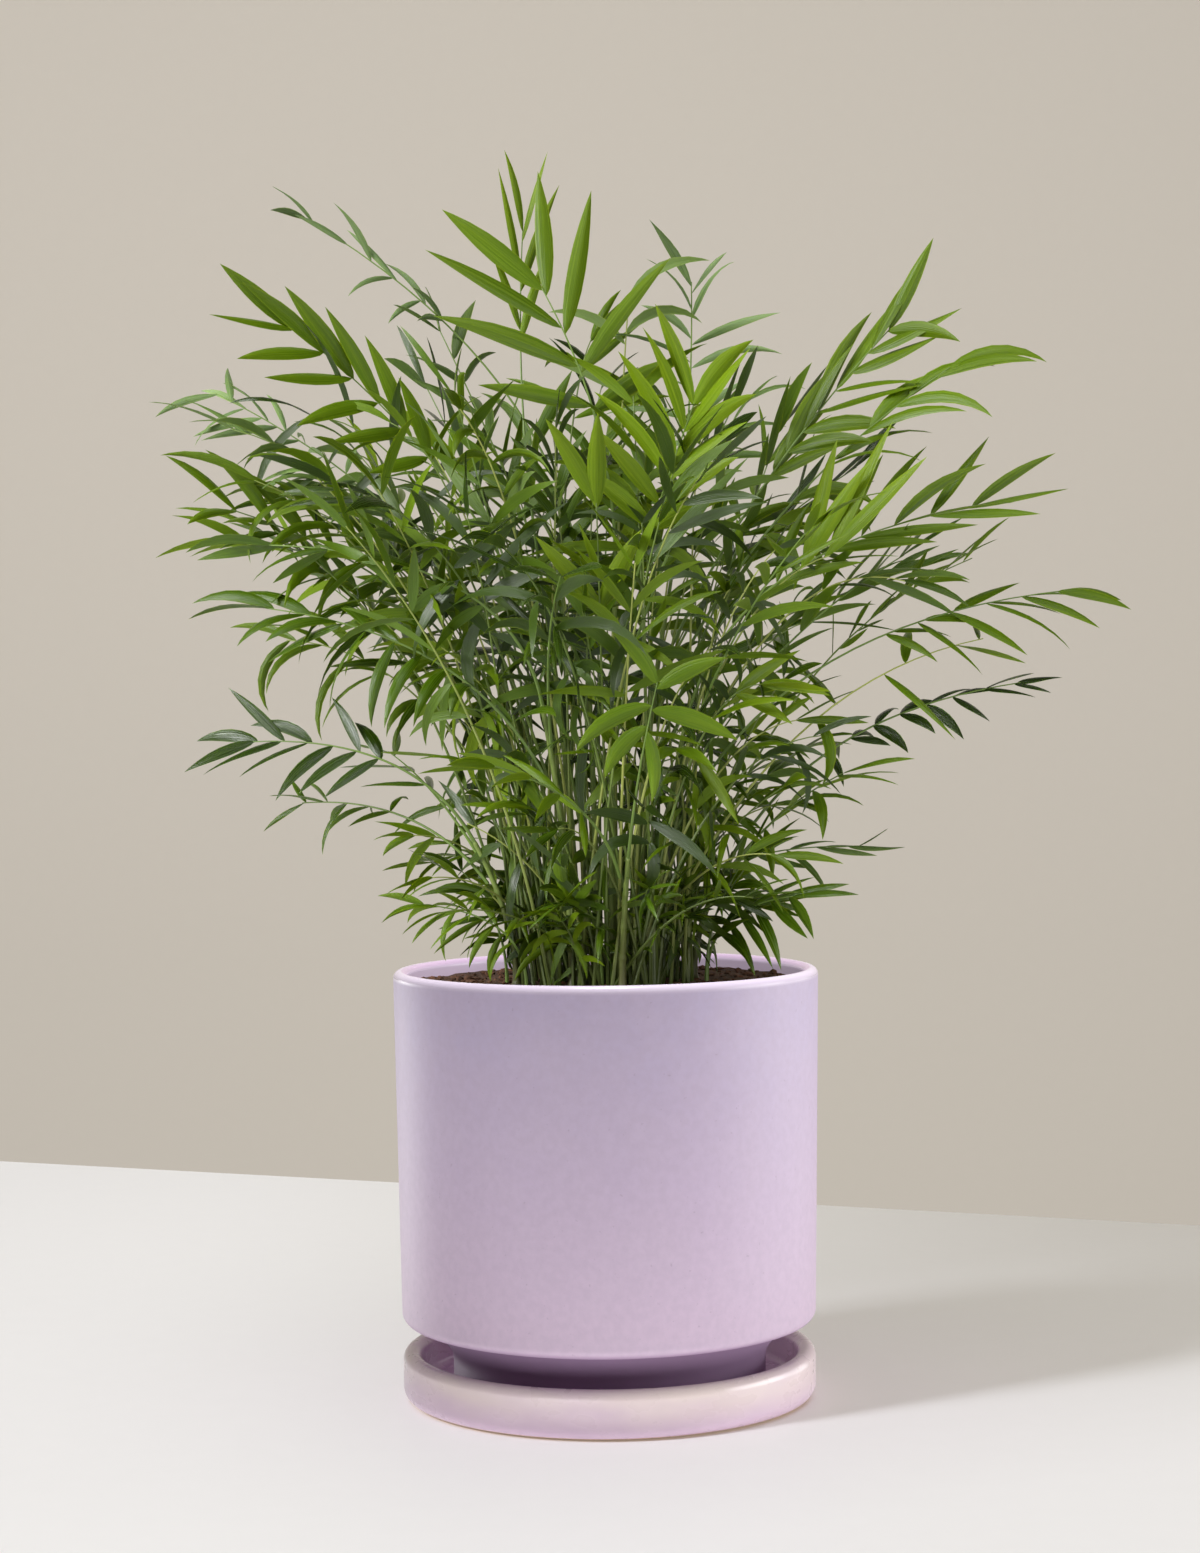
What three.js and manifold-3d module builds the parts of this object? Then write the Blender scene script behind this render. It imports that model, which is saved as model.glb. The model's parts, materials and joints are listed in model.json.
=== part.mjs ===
// A parlour palm clump in a straight glazed pot that stands on its saucer.
// Millimetres, +Z up. The origin is the centre of the saucer's flat underside, and -Y is the front.
import * as THREE from 'three';
import { mergeVertices } from 'three/addons/utils/BufferGeometryUtils.js';
import Module from 'manifold-3d';

const wasm = await Module();
wasm.setup();

// Driving dimensions
const clearance = 0.3;            // gap kept between pieces that touch
const pot = {
  height: 217, topRadius: 108, bottomRadius: 105.3, wall: 7,
  shoulder: 39, shoulderRound: 5, footRadius: 88, floorThickness: 9, drainRadius: 7,
};
const saucer = { height: 24.5, radius: 105, baseRadius: 99, rim: 9.5, floor: 6 };
const roundSides = 40;
const soilDrop = 7;               // soil below the pot's rim
const ground = pot.height - soilDrop;

// Stems stand in three rings. Heights and reaches are above the soil and out from the pot's axis.
const stemRings = [
  { name: 'inner', count: 4, footRing: 15, height: 190, reach: 32, start: 20, holdsAbove: 270 },
  { name: 'middle', count: 4, footRing: 32, height: 132, reach: 56, start: -30, holdsAbove: 155 },
  { name: 'outer', count: 4, footRing: 47, height: 66, reach: 68, start: 12, holdsAbove: 75 },
];
const stem = { footRadius: 2.8, flare: 1.35, tipRadius: 1.8, sides: 6, steps: 7 };
const stemJitter = { azimuth: 10, height: 0.1, reach: 0.1 };
const soilRing = 40;              // where the lowest fronds rise from the soil
const rib = { stalkRadius: 1.35, tipRadius: 0.5, sides: 3, steps: 8 };
const leaf = {
  thick: 0.022, widestAt: 0.42, rootSink: 0.1, smallPairs: 6, largePairs: 7, largeFrom: 46,
};
const seatSpacing = 0.13;         // share of a stem's height between the fronds it carries

// Fronds that draw the crown's outline. at: where the rib ends, right, back and above the soil.
// blade: the leafy share of the rib. leaf: longest leaflet. broad: its width over its length.
// turn: degrees that the blade's upper face turns to the front. open: spread of the leaflets.
// hang: how far leaflets droop, as a share of their length. pairs: of leaflets, where named here.
const outlineFronds = [
  { at: [-38, 4, 384], blade: 0.25, leaf: 50, broad: 0.1, turn: 60, open: 0.2, hang: 0, pairs: 4 },
  { at: [-28, -30, 348], blade: 0.42, leaf: 78, broad: 0.15, turn: 75, open: 1, hang: 0, pairs: 5 },
  { at: [-154, -18, 332], blade: 0.48, leaf: 54, broad: 0.19, turn: 65, open: 0.95, hang: 0.02 },
  { at: [-154, 48, 399], blade: 0.26, leaf: 30, broad: 0.15, turn: 40, open: 0.8, hang: 0.1 },
  { at: [-198, 22, 304], blade: 0.52, leaf: 42, broad: 0.15, turn: 35, open: 0.85, hang: 0.12 },
  { at: [-184, -24, 240], blade: 0.55, leaf: 52, broad: 0.16, turn: 50, open: 0.9, hang: 0.25 },
  { at: [-166, -40, 190], blade: 0.6, leaf: 50, broad: 0.18, turn: 25, open: 0.9, hang: 0.35 },
  { at: [-178, -8, 124], blade: 0.45, leaf: 42, broad: 0.18, turn: 55, open: 0.95, hang: 0.3 },
  { at: [-156, 24, 92], blade: 0.4, leaf: 28, broad: 0.16, turn: 25, open: 0.9, hang: 0.5 },
  { at: [-93, -30, 42], blade: 0.65, leaf: 34, broad: 0.15, turn: 20, open: 0.85, hang: 0.3 },
  { at: [148, -6, 330], blade: 0.5, leaf: 60, broad: 0.17, turn: 45, open: 0.75, hang: 0.05 },
  { at: [174, -34, 306], blade: 0.55, leaf: 56, broad: 0.16, turn: 30, open: 0.7, hang: 0.35 },
  { at: [188, -18, 238], blade: 0.55, leaf: 58, broad: 0.15, turn: 45, open: 0.65, hang: 0.1 },
  { at: [168, 44, 212], blade: 0.6, leaf: 52, broad: 0.15, turn: 25, open: 0.8, hang: 0.2 },
  { at: [236, -14, 196], blade: 0.5, leaf: 52, broad: 0.15, turn: 25, open: 0.6, hang: 0.45 },
  { at: [214, 6, 150], blade: 0.5, leaf: 42, broad: 0.19, turn: 35, open: 0.8, hang: 0.35 },
  { at: [134, 32, 66], blade: 0.45, leaf: 34, broad: 0.16, turn: 30, open: 0.8, hang: 0.3 },
  { at: [94, -30, 44], blade: 0.6, leaf: 46, broad: 0.14, turn: 45, open: 0.85, hang: 0.15 },
  { at: [48, 18, 358], blade: 0.45, leaf: 46, broad: 0.17, turn: 50, open: 0.9, hang: 0.15 },
  { at: [46, -66, 286], blade: 0.5, leaf: 60, broad: 0.18, turn: 60, open: 0.8, hang: 0 },
  { at: [26, -100, 150], blade: 0.5, leaf: 50, broad: 0.2, turn: 30, open: 1, hang: 0.25 },
  { at: [132, 18, 262], blade: 0.5, leaf: 64, broad: 0.14, turn: 55, open: 0.55, hang: 0 },
  { at: [82, 56, 306], blade: 0.5, leaf: 38, broad: 0.17, turn: 30, open: 0.9, hang: 0.1 },
  { at: [-84, 44, 340], blade: 0.5, leaf: 42, broad: 0.18, turn: 40, open: 0.9, hang: 0.1 },
];

// Fronds that fill the crown all round, in tiers. first: azimuth of the first one, in degrees.
const fillTiers = [
  { count: 5, first: 232, reach: 96, above: 290, blade: 0.52, leaf: 50, broad: 0.18, hang: 0.15 },
  { count: 7, first: 205, reach: 158, above: 208, blade: 0.58, leaf: 50, broad: 0.17, hang: 0.25 },
  { count: 4, first: 250, reach: 128, above: 112, blade: 0.6, leaf: 42, broad: 0.17, hang: 0.3 },
  { count: 5, first: 262, reach: 78, above: 62, blade: 0.68, leaf: 38, broad: 0.16, hang: 0.25 },
];
const fillJitter = { azimuth: 16, reach: 0.1, above: 0.08, turn: 45 };
const ribTries = 60;
const weld = 0.04;                // corners nearer than this are joined
const seed = 4117;

const colours = {
  glaze: 0xc6b5cf, saucerGlaze: 0xd9c4d2, soil: 0x4a3628, stem: 0x8fa860,
  leafDark: 0x2f5a22, leafMid: 0x437a26, leafBright: 0x6c9c2f,
};
const matte = (colour, roughness = 0.6) =>
  new THREE.MeshStandardMaterial({ color: colour, roughness, metalness: 0 });
const materials = {
  pot: matte(colours.glaze, 0.55),
  saucer: matte(colours.saucerGlaze, 0.35),
  soil: matte(colours.soil, 0.95),
  stem: matte(colours.stem, 0.5),
  leaves: [colours.leafDark, colours.leafMid, colours.leafBright].map((c) => matte(c, 0.45)),
};

// Vectors are plain [x, y, z] lists
const add = (a, b, k = 1) => a.map((v, i) => v + b[i] * k);
const sub = (a, b) => add(a, b, -1);
const dot = (a, b) => a[0] * b[0] + a[1] * b[1] + a[2] * b[2];
const scale = (a, k) => a.map((v) => v * k);
const length = (a) => Math.sqrt(dot(a, a));
const unit = (a) => scale(a, 1 / length(a));
const cross = (a, b) => [
  a[1] * b[2] - a[2] * b[1],
  a[2] * b[0] - a[0] * b[2],
  a[0] * b[1] - a[1] * b[0],
];
const mix = (a, b, t) => a + (b - a) * t;
const radians = (degrees) => degrees * Math.PI / 180;
const around = (degrees, radius, z) =>
  [radius * Math.cos(radians(degrees)), radius * Math.sin(radians(degrees)), z];
const up = [0, 0, 1];
const front = [0, -1, 0];

// Park and Miller's generator, so that the same seed grows the same palm anywhere
let state = seed;
const random = () => {
  state = (state * 16807) % 2147483647;
  return state / 2147483647;
};
const wobble = (size) => (2 * random() - 1) * size;

// Closed solids and geometries
function toSolid(geometry) {
  const bare = geometry.clone();
  bare.deleteAttribute('normal');
  bare.deleteAttribute('uv');
  const merged = mergeVertices(bare, 1e-4);
  return new wasm.Manifold(new wasm.Mesh({
    numProp: 3,
    vertProperties: new Float32Array(merged.attributes.position.array),
    triVerts: new Uint32Array(merged.index.array),
  }));
}

function toGeometry(solid) {
  const { vertProperties, triVerts } = solid.getMesh();
  const geometry = new THREE.BufferGeometry();
  geometry.setAttribute('position', new THREE.BufferAttribute(vertProperties, 3));
  geometry.setIndex(new THREE.BufferAttribute(triVerts, 1));
  geometry.computeVertexNormals();
  return geometry;
}

function named(name, geometry, material) {
  const mesh = new THREE.Mesh(geometry, material);
  mesh.name = name;
  return mesh;
}

// A geometry with each vertex moved to where place(x, y, z) puts it
function reshape(geometry, place) {
  const points = geometry.attributes.position;
  for (let i = 0; i < points.count; i++) {
    points.setXYZ(i, ...place(points.getX(i), points.getY(i), points.getZ(i)));
  }
  return geometry;
}

// Curves: a bend from a toward b and over to c, which lies in one plane square to level
const bend = (a, b, c) => ({
  at: (t) => add(add(scale(a, (1 - t) ** 2), b, 2 * t * (1 - t)), c, t * t),
  along: (t) => unit(add(scale(sub(b, a), 1 - t), sub(c, b), t)),
  level: unit(cross(sub(b, a), sub(c, b))),
});

// A closed tapering tube along a curve, square to it at each step
function taperedTube(curve, radiusAt, sides, steps) {
  const tube = new THREE.CylinderGeometry(1, 1, 1, sides, steps);
  return reshape(tube, (x, y, z) => {
    const t = y + 0.5;
    const outward = cross(curve.level, curve.along(t));
    return add(add(curve.at(t), curve.level, x * radiusAt(t)), outward, z * radiusAt(t));
  });
}

// The middle of such a tube, which runs straight from step to step
function tubeMiddle(curve, t, steps) {
  const step = Math.min(steps - 1, Math.floor(t * steps));
  const from = curve.at(step / steps);
  return add(from, sub(curve.at((step + 1) / steps), from), t * steps - step);
}

// Turned profiles, as [radius, height] pairs listed so that the faces point out
function turned(profile) {
  const points = profile.map(([r, z]) => new THREE.Vector2(r, z));
  return new THREE.LatheGeometry(points, roundSides).rotateX(Math.PI / 2);
}

// Points of a quarter round from one direction to the next, about a centre
function rounded([r, z], radius, fromDegrees, toDegrees, steps = 3) {
  return Array.from({ length: steps + 1 }, (_, i) => {
    const angle = radians(mix(fromDegrees, toDegrees, i / steps));
    return [r + radius * Math.cos(angle), z + radius * Math.sin(angle)];
  });
}

function potProfile() {
  const { topRadius, bottomRadius, height, shoulder, shoulderRound, footRadius, wall } = pot;
  const footZ = saucer.floor + clearance;
  const lip = wall / 2;
  const floorTop = footZ + pot.floorThickness;
  const innerFoot = footRadius - wall;
  return [
    [pot.drainRadius, footZ],
    [footRadius, footZ],
    [footRadius, shoulder],
    ...rounded([bottomRadius - shoulderRound, shoulder + shoulderRound], shoulderRound, -90, 0),
    ...rounded([topRadius - lip, height - lip], lip, 0, 180, 4),
    [bottomRadius - wall, shoulder + wall],
    [innerFoot, shoulder],
    [innerFoot, floorTop],
    [pot.drainRadius, floorTop],
    [pot.drainRadius, footZ],
  ];
}

function saucerProfile() {
  const { height, radius, baseRadius, rim, floor } = saucer;
  const bulge = rim / 2;
  const innerRadius = radius - rim;
  return [
    [0, 0],
    [baseRadius, 0],
    ...rounded([radius - bulge, bulge * 1.4], bulge, -50, 0, 2),
    ...rounded([radius - bulge, height - bulge], bulge, 0, 180, 4),
    [innerRadius, floor + 3],
    [innerRadius - 4, floor],
    [0, floor],
  ];
}

function soilProfile() {
  const wallRadius = (z) =>
    mix(pot.bottomRadius, pot.topRadius, (z - pot.shoulder) / (pot.height - pot.shoulder))
      - pot.wall - clearance * 2;
  const floorTop = saucer.floor + clearance + pot.floorThickness + clearance;
  const innerFoot = pot.footRadius - pot.wall - clearance * 2;
  return [
    [0, floorTop],
    [innerFoot, floorTop],
    [innerFoot, pot.shoulder + 1],
    [wallRadius(pot.shoulder + pot.wall) - 1, pot.shoulder + pot.wall + 1],
    [wallRadius(ground - 2), ground - 2],
    [soilRing * 1.3 + 8, ground],
    [0, ground],
  ];
}

// Stems
const stemRadius = (t) =>
  mix(stem.footRadius, stem.tipRadius, t) * (t === 0 ? stem.flare : 1);

function growStems() {
  return stemRings.flatMap((ring) => Array.from({ length: ring.count }, (_, i) => {
    const azimuth = ring.start + 360 * i / ring.count + wobble(stemJitter.azimuth);
    const height = ring.height * (1 + wobble(stemJitter.height));
    const reach = ring.reach * (1 + wobble(stemJitter.reach));
    const foot = around(azimuth, ring.footRing, ground + clearance);
    const curve = bend(
      foot,
      add(foot, up, height * 0.45),
      around(azimuth, reach, ground + height),
    );
    const tube = taperedTube(curve, stemRadius, stem.sides, stem.steps);
    return { name: `stem_${ring.name}_${i + 1}`, ring, curve, tube, solid: toSolid(tube), fronds: [] };
  }));
}

// Where each frond's rib ends, with its blade's facts. The tiers add to the outline's fronds.
function frondWishes() {
  const outline = outlineFronds.map((f) => ({ ...f, draw: (tries) => [
    f.at[0] + wobble(tries ? 5 : 0),
    f.at[1] + wobble(tries ? 9 : 0),
    f.at[2] + wobble(tries ? 5 : 0),
  ] }));
  const fill = fillTiers.flatMap((tier) => Array.from({ length: tier.count }, (_, i) => ({
    ...tier,
    turn: wobble(fillJitter.turn),
    open: 0.85,
    draw: () => around(
      tier.first + 360 * i / tier.count + wobble(fillJitter.azimuth),
      tier.reach * (1 + wobble(fillJitter.reach)),
      tier.above * (1 + wobble(fillJitter.above)),
    ),
  })));
  return [...outline, ...fill];
}

// The stem that a frond grows on: the ring by height, then the stem that leans its way with room.
// The lowest fronds have none and rise from the soil.
function chooseStem(stems, tip) {
  const ring = stemRings.find((r) => tip[2] >= r.holdsAbove);
  if (!ring) return null;
  const away = (s) => {
    const top = s.curve.at(1);
    const lean = unit([top[0], top[1], 0]);
    const aim = [tip[0], tip[1], 0];
    return 3 * s.fronds.length - dot(lean, aim) / 12;
  };
  return stems.filter((s) => s.ring === ring).sort((a, b) => away(a) - away(b))[0];
}

// The rib of a frond from the soil
function soilRib(tip, spot) {
  const foot = around(spot.azimuth, spot.ring, ground + clearance);
  return bend(foot, add(foot, up, length(sub(tip, foot)) * 0.55), tip);
}

// The rib of a frond: out of its seat beside the stem, or on the stem's top, and over to its tip.
// closer moves a seat beside the stem toward it.
function stemRib(owner, place, tip, closer = 0) {
  const t = 1 - seatSpacing * place;
  const stemWay = owner.curve.along(t);
  const middle = owner.curve.at(t);
  const aim = sub(tip, middle);
  const side = unit(sub(aim, scale(stemWay, dot(aim, stemWay))));
  const gap = stemRadius(t) + rib.stalkRadius + clearance - closer;
  const seat = place === 0 ? add(middle, stemWay, clearance) : add(middle, side, gap);
  const reach = length(sub(tip, seat));
  const lift = place === 0 ? stemWay : unit(add(stemWay, side, 0.3));
  return bend(seat, add(seat, lift, reach * 0.5), tip);
}

const ribRadius = (t) => mix(rib.stalkRadius, rib.tipRadius, t);
const ribTube = (curve) => toSolid(taperedTube(curve, ribRadius, rib.sides, rib.steps));

// Brings the flats of a rib beside a stem up to the flats of that stem
function seatBeside(frond, place) {
  let closer = 0;
  for (let pass = 0; pass < 3; pass++) {
    frond.curve = stemRib(frond.owner, place, frond.tip, closer);
    closer += ribTube(frond.curve).minGap(frond.owner.solid, 6) - clearance;
  }
}

// Least distance between two straight pieces, each given by its ends
function pieceDistance([a, b], [c, d]) {
  const u = sub(b, a), v = sub(d, c), w = sub(a, c);
  const uu = dot(u, u), uv = dot(u, v), vv = dot(v, v), uw = dot(u, w), vw = dot(v, w);
  const square = uu * vv - uv * uv;
  const clamp = (x) => Math.min(1, Math.max(0, x));
  let s = square < 1e-9 ? 0 : clamp((uv * vw - vv * uw) / square);
  const t = clamp((uv * s + vw) / vv);
  s = clamp((uv * t - uw) / uu);
  return length(sub(add(w, u, s), scale(v, t)));
}

const pieces = (curve, steps) => Array.from({ length: steps }, (_, i) =>
  [curve.at(i / steps), curve.at((i + 1) / steps), (i + 0.5) / steps]);

// Whether a rib keeps clear of the stems and ribs that stand already, its own stem aside
function isClear(curve, owner, standing) {
  const mine = pieces(curve, rib.steps);
  return standing.every(({ line, radiusAt, stemOf }) => line.every((p) => mine.every((q) => {
    if (owner && stemOf === owner && q[2] < 0.2) return true;
    return pieceDistance(p, q) > radiusAt(p[2]) + ribRadius(q[2]) + clearance + 0.3;
  })));
}

// Draws a frond's tip again until its rib has room
function settle(grown, standing, ribTo) {
  for (let tries = 1; tries <= ribTries; tries++) {
    grown.curve = ribTo(grown.tip);
    if (isClear(grown.curve, grown.owner, standing)) break;
    grown.tip = add(grown.wish.draw(tries), up, ground);
  }
  standing.push({
    line: pieces(grown.curve, rib.steps), radiusAt: ribRadius, stemOf: grown.owner,
  });
}

function growFronds(stems) {
  const wishes = frondWishes().map((wish) => ({ wish, tip: add(wish.draw(0), up, ground) }));
  const low = [];
  for (const grown of wishes) {
    grown.owner = chooseStem(stems, sub(grown.tip, [0, 0, ground]));
    (grown.owner ? grown.owner.fronds : low).push(grown);
  }
  const standing = stems.map((s) =>
    ({ line: pieces(s.curve, stem.steps), radiusAt: stemRadius, stemOf: s }));
  for (const owner of stems) {
    owner.fronds.sort((a, b) => b.tip[2] - a.tip[2]);
    owner.fronds.forEach((grown, place) => {
      settle(grown, standing, (tip) => stemRib(owner, place, tip));
      if (place > 0) seatBeside(grown, place);
    });
  }
  for (const grown of low) {
    const toward = Math.atan2(grown.tip[1], grown.tip[0]) * 180 / Math.PI;
    settle(grown, standing, (tip) =>
      soilRib(tip, { azimuth: toward + wobble(30), ring: soilRing * (1 + wobble(0.3)) }));
  }
  return [...stems.flatMap((owner) => owner.fronds), ...low];
}

// The blade's axes at t: along the rib, across it, and out of the upper face, turned to the front
function bladeAxes(frond, t) {
  const along = frond.curve.along(t);
  const from = frond.curve.at(0);
  const outward = unit([frond.tip[0] - from[0], frond.tip[1] - from[1], 0]);
  const level = cross(outward, up);
  const upper = unit(cross(level, along));
  const turn = radians(frond.wish.turn);
  const leaning = add(scale(upper, Math.cos(turn)), front, Math.sin(turn));
  const face = unit(sub(leaning, scale(along, dot(leaning, along))));
  return { along, face, across: cross(along, face) };
}

// The leaflets of a frond: where each starts on the rib, its direction, face and length
function leafletPlan(frond) {
  const { blade, open, hang, leaf: longest } = frond.wish;
  const pairs = frond.wish.pairs ?? (longest < leaf.largeFrom ? leaf.smallPairs : leaf.largePairs);
  const plan = [];
  for (let i = 0; i < pairs; i++) {
    const share = i / (pairs - 1);
    for (const side of [-1, 1]) {
      const t = mix(1 - blade, 0.985, share) - (side > 0 ? 0.012 : 0);
      const axes = bladeAxes(frond, t);
      const angle = radians(mix(68, 24, share) * open + wobble(5));
      const swell = 0.62 + 0.38 * Math.sin(Math.PI * mix(0.12, 0.82, share));
      const outward = add(scale(axes.along, Math.cos(angle)), axes.across, side * Math.sin(angle));
      plan.push({
        start: tubeMiddle(frond.curve, t, rib.steps),
        way: unit(add(outward, up, -hang * 0.5)),
        face: axes.face,
        long: longest * swell * (1 + wobble(0.07)),
        drop: hang * 0.5 + 0.04,
      });
    }
  }
  return plan;
}

// One leaflet of eight faces: root, tip, two edges and a ridge above and below
function leafletSolid({ start, way, face, long, drop }, broad) {
  const across = unit(cross(way, face));
  const upper = cross(across, way);
  const root = add(start, way, -leaf.rootSink);
  const tip = add(add(start, way, long), up, -drop * long);
  const middle = add(add(start, way, long * leaf.widestAt), upper, long * 0.02);
  const halfWidth = long * broad * 0.6;
  const halfThick = long * leaf.thick / 2;
  return toSolid(reshape(new THREE.OctahedronGeometry(1), (x, y, z) => {
    const end = y > 0 ? sub(tip, middle) : sub(root, middle);
    const spot = add(middle, end, Math.abs(y));
    return add(add(spot, across, x * halfWidth), upper, z * halfThick);
  }));
}

// Ways to fit a leaflet where its first place is taken: share of its length, turn and lift
const fits = [
  [1, 0, 0], [1, 0.2, 0], [1, -0.2, 0], [1, 0, 0.25], [1, 0, -0.25], [0.85, 0.1, 0.15],
  [0.85, -0.1, -0.15], [0.7, 0.2, -0.2], [0.7, -0.2, 0.2], [0.55, 0, 0], [0.55, 0.15, 0.3],
];

const touches = (a, b) => {
  const apart = [0, 1, 2].some((k) =>
    a.box.min[k] > b.box.max[k] + clearance || b.box.min[k] > a.box.max[k] + clearance);
  return !apart && a.solid.minGap(b.solid, clearance) < clearance;
};
const boxed = (solid, frond) => ({ solid, frond, box: solid.boundingBox() });

function fittedLeaflet(planned, frond, placed) {
  for (const [share, turn, lift] of fits) {
    const across = cross(planned.face, planned.way);
    const way = unit(add(add(planned.way, across, turn), planned.face, lift));
    const tried = { ...planned, way, long: planned.long * share };
    const made = boxed(leafletSolid(tried, frond.wish.broad), frond);
    if (!placed.some((other) => other.frond !== frond && touches(made, other))) return made;
  }
  return null;
}

// The outer shell alone, with no pockets shut in between leaflets
const outerShell = (solid) =>
  solid.decompose().sort((a, b) => b.volume() - a.volume())[0];

function build() {
  const root = new THREE.Group();
  root.add(named('pot', turned(potProfile()), materials.pot));
  root.add(named('saucer', turned(saucerProfile()), materials.saucer));
  root.add(named('soil', turned(soilProfile()), materials.soil));
  const placed = root.children.map((mesh) => boxed(toSolid(mesh.geometry), null));

  const stems = growStems();
  const fronds = growFronds(stems);
  for (const s of stems) {
    root.add(named(s.name, s.tube, materials.stem));
    placed.push(boxed(s.solid, null));
  }
  for (const frond of fronds) {
    const tube = ribTube(frond.curve);
    frond.solids = [tube];
    placed.push(boxed(tube, frond));
  }
  let skipped = 0;
  for (const frond of fronds) {
    for (const planned of leafletPlan(frond)) {
      const made = fittedLeaflet(planned, frond, placed);
      if (made) {
        placed.push(made);
        frond.solids.push(made.solid);
      } else {
        skipped += 1;
      }
    }
  }
  fronds.forEach((frond, i) => {
    const whole = outerShell(wasm.Manifold.union(frond.solids).simplify(weld));
    const colour = materials.leaves[i % materials.leaves.length];
    root.add(named(`frond_${String(i + 1).padStart(2, '0')}`, toGeometry(whole), colour));
  });
  console.log('leaflets left out where there was no room:', skipped);
  return root;
}

export default build();
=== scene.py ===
"""A parlour palm clump in a straight glazed pot on its saucer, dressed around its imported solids.

Metres, in the solids' own frame: the origin is the centre of the saucer's flat underside, +Z is up and
-Y is the front. The palm is grown in millimetres by the rule that grew its solids, then carried finer.
"""

import json
import math

import bmesh
import bpy
import numpy as np
from mathutils import Matrix, Vector, noise

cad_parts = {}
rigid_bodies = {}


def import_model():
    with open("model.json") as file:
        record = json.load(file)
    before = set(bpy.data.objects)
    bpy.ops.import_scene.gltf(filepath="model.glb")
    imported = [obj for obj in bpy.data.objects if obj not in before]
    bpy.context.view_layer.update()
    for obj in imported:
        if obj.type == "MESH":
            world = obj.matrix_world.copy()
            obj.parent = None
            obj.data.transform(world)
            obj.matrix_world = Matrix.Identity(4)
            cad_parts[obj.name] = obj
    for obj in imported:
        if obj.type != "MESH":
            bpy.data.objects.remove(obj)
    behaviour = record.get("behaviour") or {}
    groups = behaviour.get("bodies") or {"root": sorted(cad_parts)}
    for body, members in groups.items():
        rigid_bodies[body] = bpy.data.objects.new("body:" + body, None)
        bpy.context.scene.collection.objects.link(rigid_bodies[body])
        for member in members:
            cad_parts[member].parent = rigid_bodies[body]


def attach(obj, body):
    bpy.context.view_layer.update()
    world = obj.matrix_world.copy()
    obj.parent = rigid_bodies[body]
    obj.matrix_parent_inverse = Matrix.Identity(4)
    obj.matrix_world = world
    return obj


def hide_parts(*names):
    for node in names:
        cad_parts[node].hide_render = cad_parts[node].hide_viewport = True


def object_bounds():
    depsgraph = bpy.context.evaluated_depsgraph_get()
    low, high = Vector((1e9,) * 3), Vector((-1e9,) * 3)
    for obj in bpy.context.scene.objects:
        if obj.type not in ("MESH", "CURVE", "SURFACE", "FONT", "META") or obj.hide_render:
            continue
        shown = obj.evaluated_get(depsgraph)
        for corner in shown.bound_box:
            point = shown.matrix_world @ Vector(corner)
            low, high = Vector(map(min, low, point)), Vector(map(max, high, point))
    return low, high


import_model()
CAD_BOX = [list(corner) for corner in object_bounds()]

MM = 0.001

# The photograph's frame and the camera that took it
PHOTO_HEIGHT = 1553
FOCAL_PIXELS = 2800
SENSOR_MM = 36
CAMERA_DISTANCE = 1.426
CAMERA_HEIGHT = 0.335
CAMERA_YAW = 0.07
CAMERA_PITCH = 0.828
CAMERA_ROLL = 0.62

# Pot, saucer and soil, in millimetres, as the solids have them
CLEARANCE = 0.3
POT_HEIGHT = 217
POT_TOP_RADIUS, POT_BOTTOM_RADIUS = 108, 105.3
POT_WALL = 7
POT_SHOULDER, POT_SHOULDER_ROUND = 39, 5
POT_FOOT_RADIUS, POT_FLOOR, POT_DRAIN_RADIUS = 90.5, 9, 7
POT_FOOT_TAPER = 11
SAUCER_HEIGHT, SAUCER_RADIUS, SAUCER_BASE_RADIUS = 24.5, 105, 99
SAUCER_RIM, SAUCER_FLOOR = 9.5, 6
SOIL_DROP = 7
GROUND = POT_HEIGHT - SOIL_DROP
SOIL_RADIUS = POT_TOP_RADIUS - POT_WALL - CLEARANCE * 2

# Stems stand in three rings. Heights and reaches are above the soil and out from the pot's axis.
STEM_RINGS = [
    dict(name="inner", count=4, foot_ring=15, height=190, reach=32, start=20, holds_above=270),
    dict(name="middle", count=4, foot_ring=32, height=132, reach=56, start=-30, holds_above=155),
    dict(name="outer", count=4, foot_ring=47, height=66, reach=68, start=12, holds_above=75),
]
STEM_FOOT_RADIUS, STEM_TIP_RADIUS, STEM_FLARE, STEM_STEPS = 2.8, 1.8, 1.35, 7
STEM_JITTER = dict(azimuth=10, height=0.1, reach=0.1)

# How far each curve runs straight on before it bends, as a share of its height or its reach
STEM_BOW, STEM_RIB_BOW, SOIL_RIB_BOW = 0.45, 0.5, 0.55

# A side rib leans out from its stem this much, and seats stand this share of the stem apart
RIB_LEAN = 0.3
SEAT_SPACING = 0.13
STALK_RADIUS, RIB_TIP_RADIUS, RIB_STEPS = 1.35, 0.5, 8

# A stem is chosen by its lean, in steps of so many millimetres, less so much for each frond it holds
LEAN_STEP, FROND_COST = 12, 3
SOIL_RING = 40
SOIL_RING_JITTER = dict(azimuth=30, ring=0.3)

# A rib's tip is drawn again, this far about, until the rib has room from the rest. The lowest fifth of it
# may stand near its own stem.
RIB_TRIES = 60
TIP_SPREAD = (5, 9, 5)
RIB_ROOM = 0.3
NEAR_OWN_STEM = 0.2
SEED = 4117


def placed(at, blade, leaf, broad, hang, **more):
    """A frond placed one by one."""
    return dict(more, at=at, blade=blade, leaf=leaf, broad=broad, hang=hang)


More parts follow.
